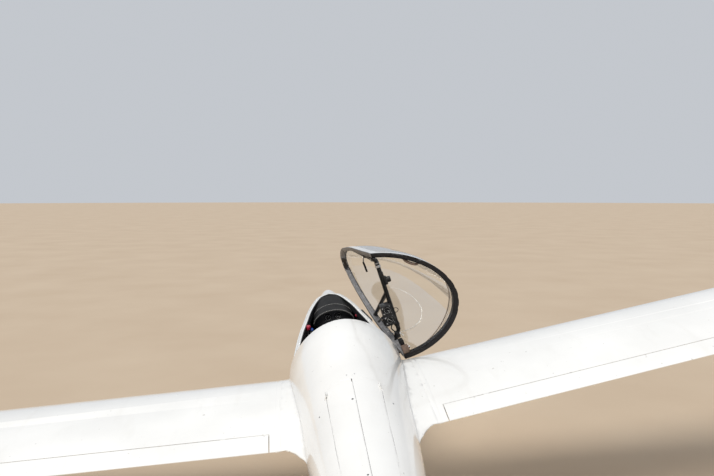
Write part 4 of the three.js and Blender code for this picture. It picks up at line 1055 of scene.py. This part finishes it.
canopy.tube([(0.15, 0.322, -0.003), (0.155, 0.32, -0.016)], 0.009, BLACK, 12, 1)
cable = [(0.2, 0.345, 0.08), (0.235, 0.345, 0.06), (0.27, 0.35, 0.075), (0.305, 0.36, 0.062)]
canopy.tube(cable, 0.004, BLACK, 10)

# Corner blocks behind the brace's right foot, and the lanyard over it
corner = vec(half_at(0.02, 0.075) - 0.052, 0.02, 0.075)
canopy.box((-0.022, -0.02, -0.024), (0.022, 0.035, 0.02), BROWN, 0.006, base=corner)
canopy.box((-0.05, 0.045, -0.02), (-0.012, 0.11, 0.008), BLACK, 0.005, base=corner)
canopy.disc(0.009, 0.012, corner + vec(-0.005, 0.008, 0.018), (0, 0, 1), STEEL, 16)
canopy.box((0.008, -0.03, -0.03), (0.05, 0.03, -0.004), BLACK, 0.006, base=RIGHT_END)
canopy.disc(0.007, 0.01, RIGHT_END + vec(0.03, 0, -0.004), (0, 0, 1), ALLOY, 16)
lanyard = curve_through([rail_point(1, 0.56, 0.031, 0.028), (0.318, 0.47, 0.089), (0.306, 0.38, 0.118),
                         RIGHT_END + vec(0.05, -0.01, 0.017)], 6)
canopy.band(lanyard, (0, 0.3, 1), 0.008, 0.0018, THREAD)
canopy.piece("canopy_fittings", "canopy")

# Clear-view window in the canopy's left side: its frame, light grey as a painted glint on the window's edge,
# and knob
window = Kit(OPENED)
outline = []
for k in range(33):
    angle = tau * k / 32
    y = 1.35 + 0.15 * copysign(abs(cos(angle)) ** 0.6, cos(angle))
    z = 0.15 + 0.055 * copysign(abs(sin(angle)) ** 0.6, sin(angle))
    outline.append(vec(-half_at(y, z, 0.0062), y, z))
window.tube(outline, 0.0028, GLASS_GLINT, 8, 1)
middle = vec(-half_at(1.42, 0.15, 0.0055), 1.42, 0.15)
window.disc(0.011, 0.012, middle, (1, 0, -0.25), BLACK, 20)
window.piece("vent_window", "canopy")

# Light line along the glass just ahead of the arch: a painted glint on the acrylic's edge
arch_glint = Kit(OPENED)
arch_glint_line = arch_line(0.075, 0.449, lambda z: raked(z) + 0.0565, 0.0068, 0.03)
arch_glint.tube(arch_glint_line, 0.0018, GLASS_GLINT, 6, 1)
arch_glint.piece("glass_arch_glint", "canopy")

# A brown band inside the glass just ahead of the arch, a painted reflection of the ground, and a light line
# across the glass's right side, a painted glint
reflection_kit = Kit(OPENED)
reflection_line = arch_line(0.08, 0.4515, lambda z: 0.02 - 0.1 * (z - SILL_RISE), 0.0105, 0.05)
reflection_kit.tube(reflection_line, 0.0042, BOW_REFLECTION, 8, 1)
glint_line = [(1.353, 0.259), (1.245, 0.289), (1.101, 0.313), (0.916, 0.331), (0.709, 0.339), (0.571, 0.334),
         (0.473, 0.321), (0.4, 0.291), (0.375, 0.256), (0.394, 0.202), (0.478, 0.121)]
reflection_kit.tube([vec(half_at(y, z, 0.0068), y, z) for y, z in glint_line], 0.0017, GLASS_GLINT, 6, 4)
reflection_kit.piece("glass_reflections", "canopy")


# Engine doors: seals in the gaps, flush catches
def skin_strip(kit, line, width, material, sunk):
    """A flat seal along a line of (x, y) on the upper skin, a little below it."""
    half, low = width / 2, sunk + 0.003
    profile = [(half, -sunk), (-half, -sunk), (-half, -low), (half, -low)]
    kit.strip([on_top(x, y) for x, y in line], [top_normal(x, y) for x, y in line], profile, material)


seals = Kit()
stations = np.linspace(DOOR_FRONT, DOOR_REAR, 49)
halves = np.linspace(DOOR_FRONT_HALF, DOOR_REAR_HALF, 49)
for side in (-1, 1):
    skin_strip(seals, list(zip(side * halves, stations)), 0.0048, SEAM, 0.0006)
for y, half in ((DOOR_FRONT, DOOR_FRONT_HALF), (DOOR_REAR, DOOR_REAR_HALF)):
    skin_strip(seals, [(half * (k / 12 - 1), y) for k in range(25)], 0.0046, SEAM, 0.0006)
seals.piece("door_seals", "airframe")
seam = Kit()
skin_strip(seam, [(-0.0006, y) for y in stations[1:-1]], 0.0036, SEAM, 0.001)
for y, radius in ((-1.052, 0.0052), (-1.61, 0.0042), (-1.95, 0.004)):
    spot = on_top(-0.014, y, 0.0008)
    facing = top_normal(-0.014, y)
    seam.disc(radius, 0.0016, spot, facing, BLACK, 20)
    seam.disc(radius * 0.45, 0.0021, spot, facing, STEEL, 12)
seam.piece("door_centre_seal", nodes["engine_door_left"]["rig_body"])

# Small fittings on the upper skin
marks = Kit()
for x, y, radius in ((0.178, -1.02, 0.0045), (-0.182, -1.02, 0.0045), (0.02, -0.845, 0.003),
                     (-0.02, -0.845, 0.003)):
    marks.disc(radius, 0.0012, on_top(x, y, 0.0004), top_normal(x, y), STEEL, 18)
marks.piece("skin_fittings", "airframe")


# Tape over the wing roots' joints
def root_tape(side):
    """A wrap round the wing root, drawn from the wing's own end rib."""
    node = f"wing_{side}"
    bm = welded(node)
    bm.transform(LEVEL.inverted())
    sign = 1 if side == "right" else -1
    root = min(sign * vertex.co.x for vertex in bm.verts)
    ribs = [face for face in bm.faces if sign * face.normal.x < -0.9
            and abs(sign * face.calc_center_median().x - root) < 0.003]
    borders = {}
    for face in ribs:
        for edge in face.edges:
            if sum(other in ribs for other in edge.link_faces) == 1:
                a, b = (vertex.index for vertex in edge.verts)
                borders.setdefault(a, []).append(b)
                borders.setdefault(b, []).append(a)
    bm.verts.ensure_lookup_table()
    loop, before, at = [], None, min(borders, key=lambda i: -bm.verts[i].co.y)
    while at is not None and at not in loop:
        loop.append(at)
        after = [i for i in borders[at] if i != before and i not in loop]
        before, at = at, after[0] if after else None
    ring = [bm.verts[i].co.copy() for i in loop]
    bm.free()
    centre = sum(ring, Vector()) / len(ring)
    outward = []
    for before, point, after in zip(ring[-1:] + ring, ring, ring[1:] + ring[:1]):
        outward.append(vec(0, after.z - before.z, before.y - after.y).normalized())
    flip = 1 if sum((point - centre).dot(out) for point, out in zip(ring, outward)) > 0 else -1
    rings = []
    for x, lift in ((-0.016, 0.0001), (-0.014, 0.0011), (0.014, 0.0011), (0.016, 0.0001)):
        wrap = [vec(sign * (root + x), p.y, p.z) + flip * lift * out for p, out in zip(ring, outward)]
        rings.append(wrap)
    kit = Kit()
    kit.skin(rings, GELCOAT, "open")
    kit.piece(f"root_tape_{side}", "airframe")


for side in ("right", "left"):
    root_tape(side)


# Wheels
TREAD = ((0.93, 0.9), (0.972, 0.74), (0.99, 0.52), (0.991, 0.48), (0.97, 0.465), (0.97, 0.42), (0.996, 0.405),
         (0.999, 0.18), (0.975, 0.165), (0.975, 0.12), (0.9995, 0.105))


def wheel(place, radius, half, rim_radius, bolts, bolt_circle):
    """A tyre with rounded shoulders and tread grooves, and bolts and a valve on its rim."""
    node = f"{place}_tyre"
    hub = LEVEL.inverted() @ Vector(joints[f"{place}_wheel_roll"]["pos_m"])
    body = nodes[node]["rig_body"]
    wall = radius - rim_radius
    half_profile = [(rim_radius + 0.002, 0.6), (rim_radius + 0.008, 0.78), (rim_radius + wall * 0.35, 0.97),
                    (rim_radius + wall * 0.6, 0.995), *((radius * share, across) for share, across in TREAD)]
    profile = [(r, half * a) for r, a in half_profile] + [(r, -half * a) for r, a in reversed(half_profile)]
    kit = Kit()
    kit.lathe(profile, hub, ACROSS, RUBBER, 96)
    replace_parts(kit.piece(f"{node}_tread", body, 25), node)
    points = [LEVEL.inverted() @ vertex.co - hub for vertex in nodes[f"{place}_rim"].data.vertices]
    face = max(abs(point.x) for point in points if hypot(point.y, point.z) < bolt_circle * 1.25)
    fittings = Kit()
    for side in (-1, 1):
        for k in range(bolts):
            angle = tau * k / bolts
            spot = hub + vec(side * (face - 0.001), bolt_circle * cos(angle), bolt_circle * sin(angle))
            fittings.disc(radius * 0.028, radius * 0.03, spot, (side, 0, 0), STEEL, 6)
    spot = hub + vec(face - 0.002, 0, rim_radius * 0.82)
    fittings.tube([spot, spot + 0.012 * ACROSS], 0.0035, BLACK, 10, 0)
    fittings.piece(f"{node}_tread_bolts", body)


wheel("main", radius=0.188, half=0.075, rim_radius=0.102, bolts=8, bolt_circle=0.055)
wheel("tail", radius=0.104, half=0.032, rim_radius=0.052, bolts=6, bolt_circle=0.03)


# Studio
bpy.context.scene.view_settings.view_transform = "Standard"


def studio_floor():
    """A wide pale floor."""
    bm = bmesh.new()
    bmesh.ops.create_circle(bm, cap_ends=True, segments=96, radius=180)
    look = Look("floor", (0.56, 0.45, 0.32), 0.9)
    tone = look.ramp(look.noise(0.7, 6), (0.3, (0.5, 0.39, 0.28)), (0.7, (0.54, 0.43, 0.315)))
    look.feed("Base Color", tone)
    add_object("floor", as_mesh(bm, "floor", look.material))


def studio_light():
    """Soft daylight: one broad source high up, and an even pale surround."""
    lamp = bpy.data.lights.new("key", "SUN")
    lamp.energy = 2.5
    lamp.angle = radians(22)
    lamp.color = (1, 0.97, 0.92)
    add_object("key", lamp).rotation_euler = (radians(32), radians(-26), radians(8))
    world = bpy.data.worlds.new("surround")
    world.use_nodes = True
    background = world.node_tree.nodes["Background"]
    background.inputs["Color"].default_value = (0.86, 0.9, 0.96, 1)
    background.inputs["Strength"].default_value = 0.64
    bpy.context.scene.world = world


studio_floor()
studio_light()
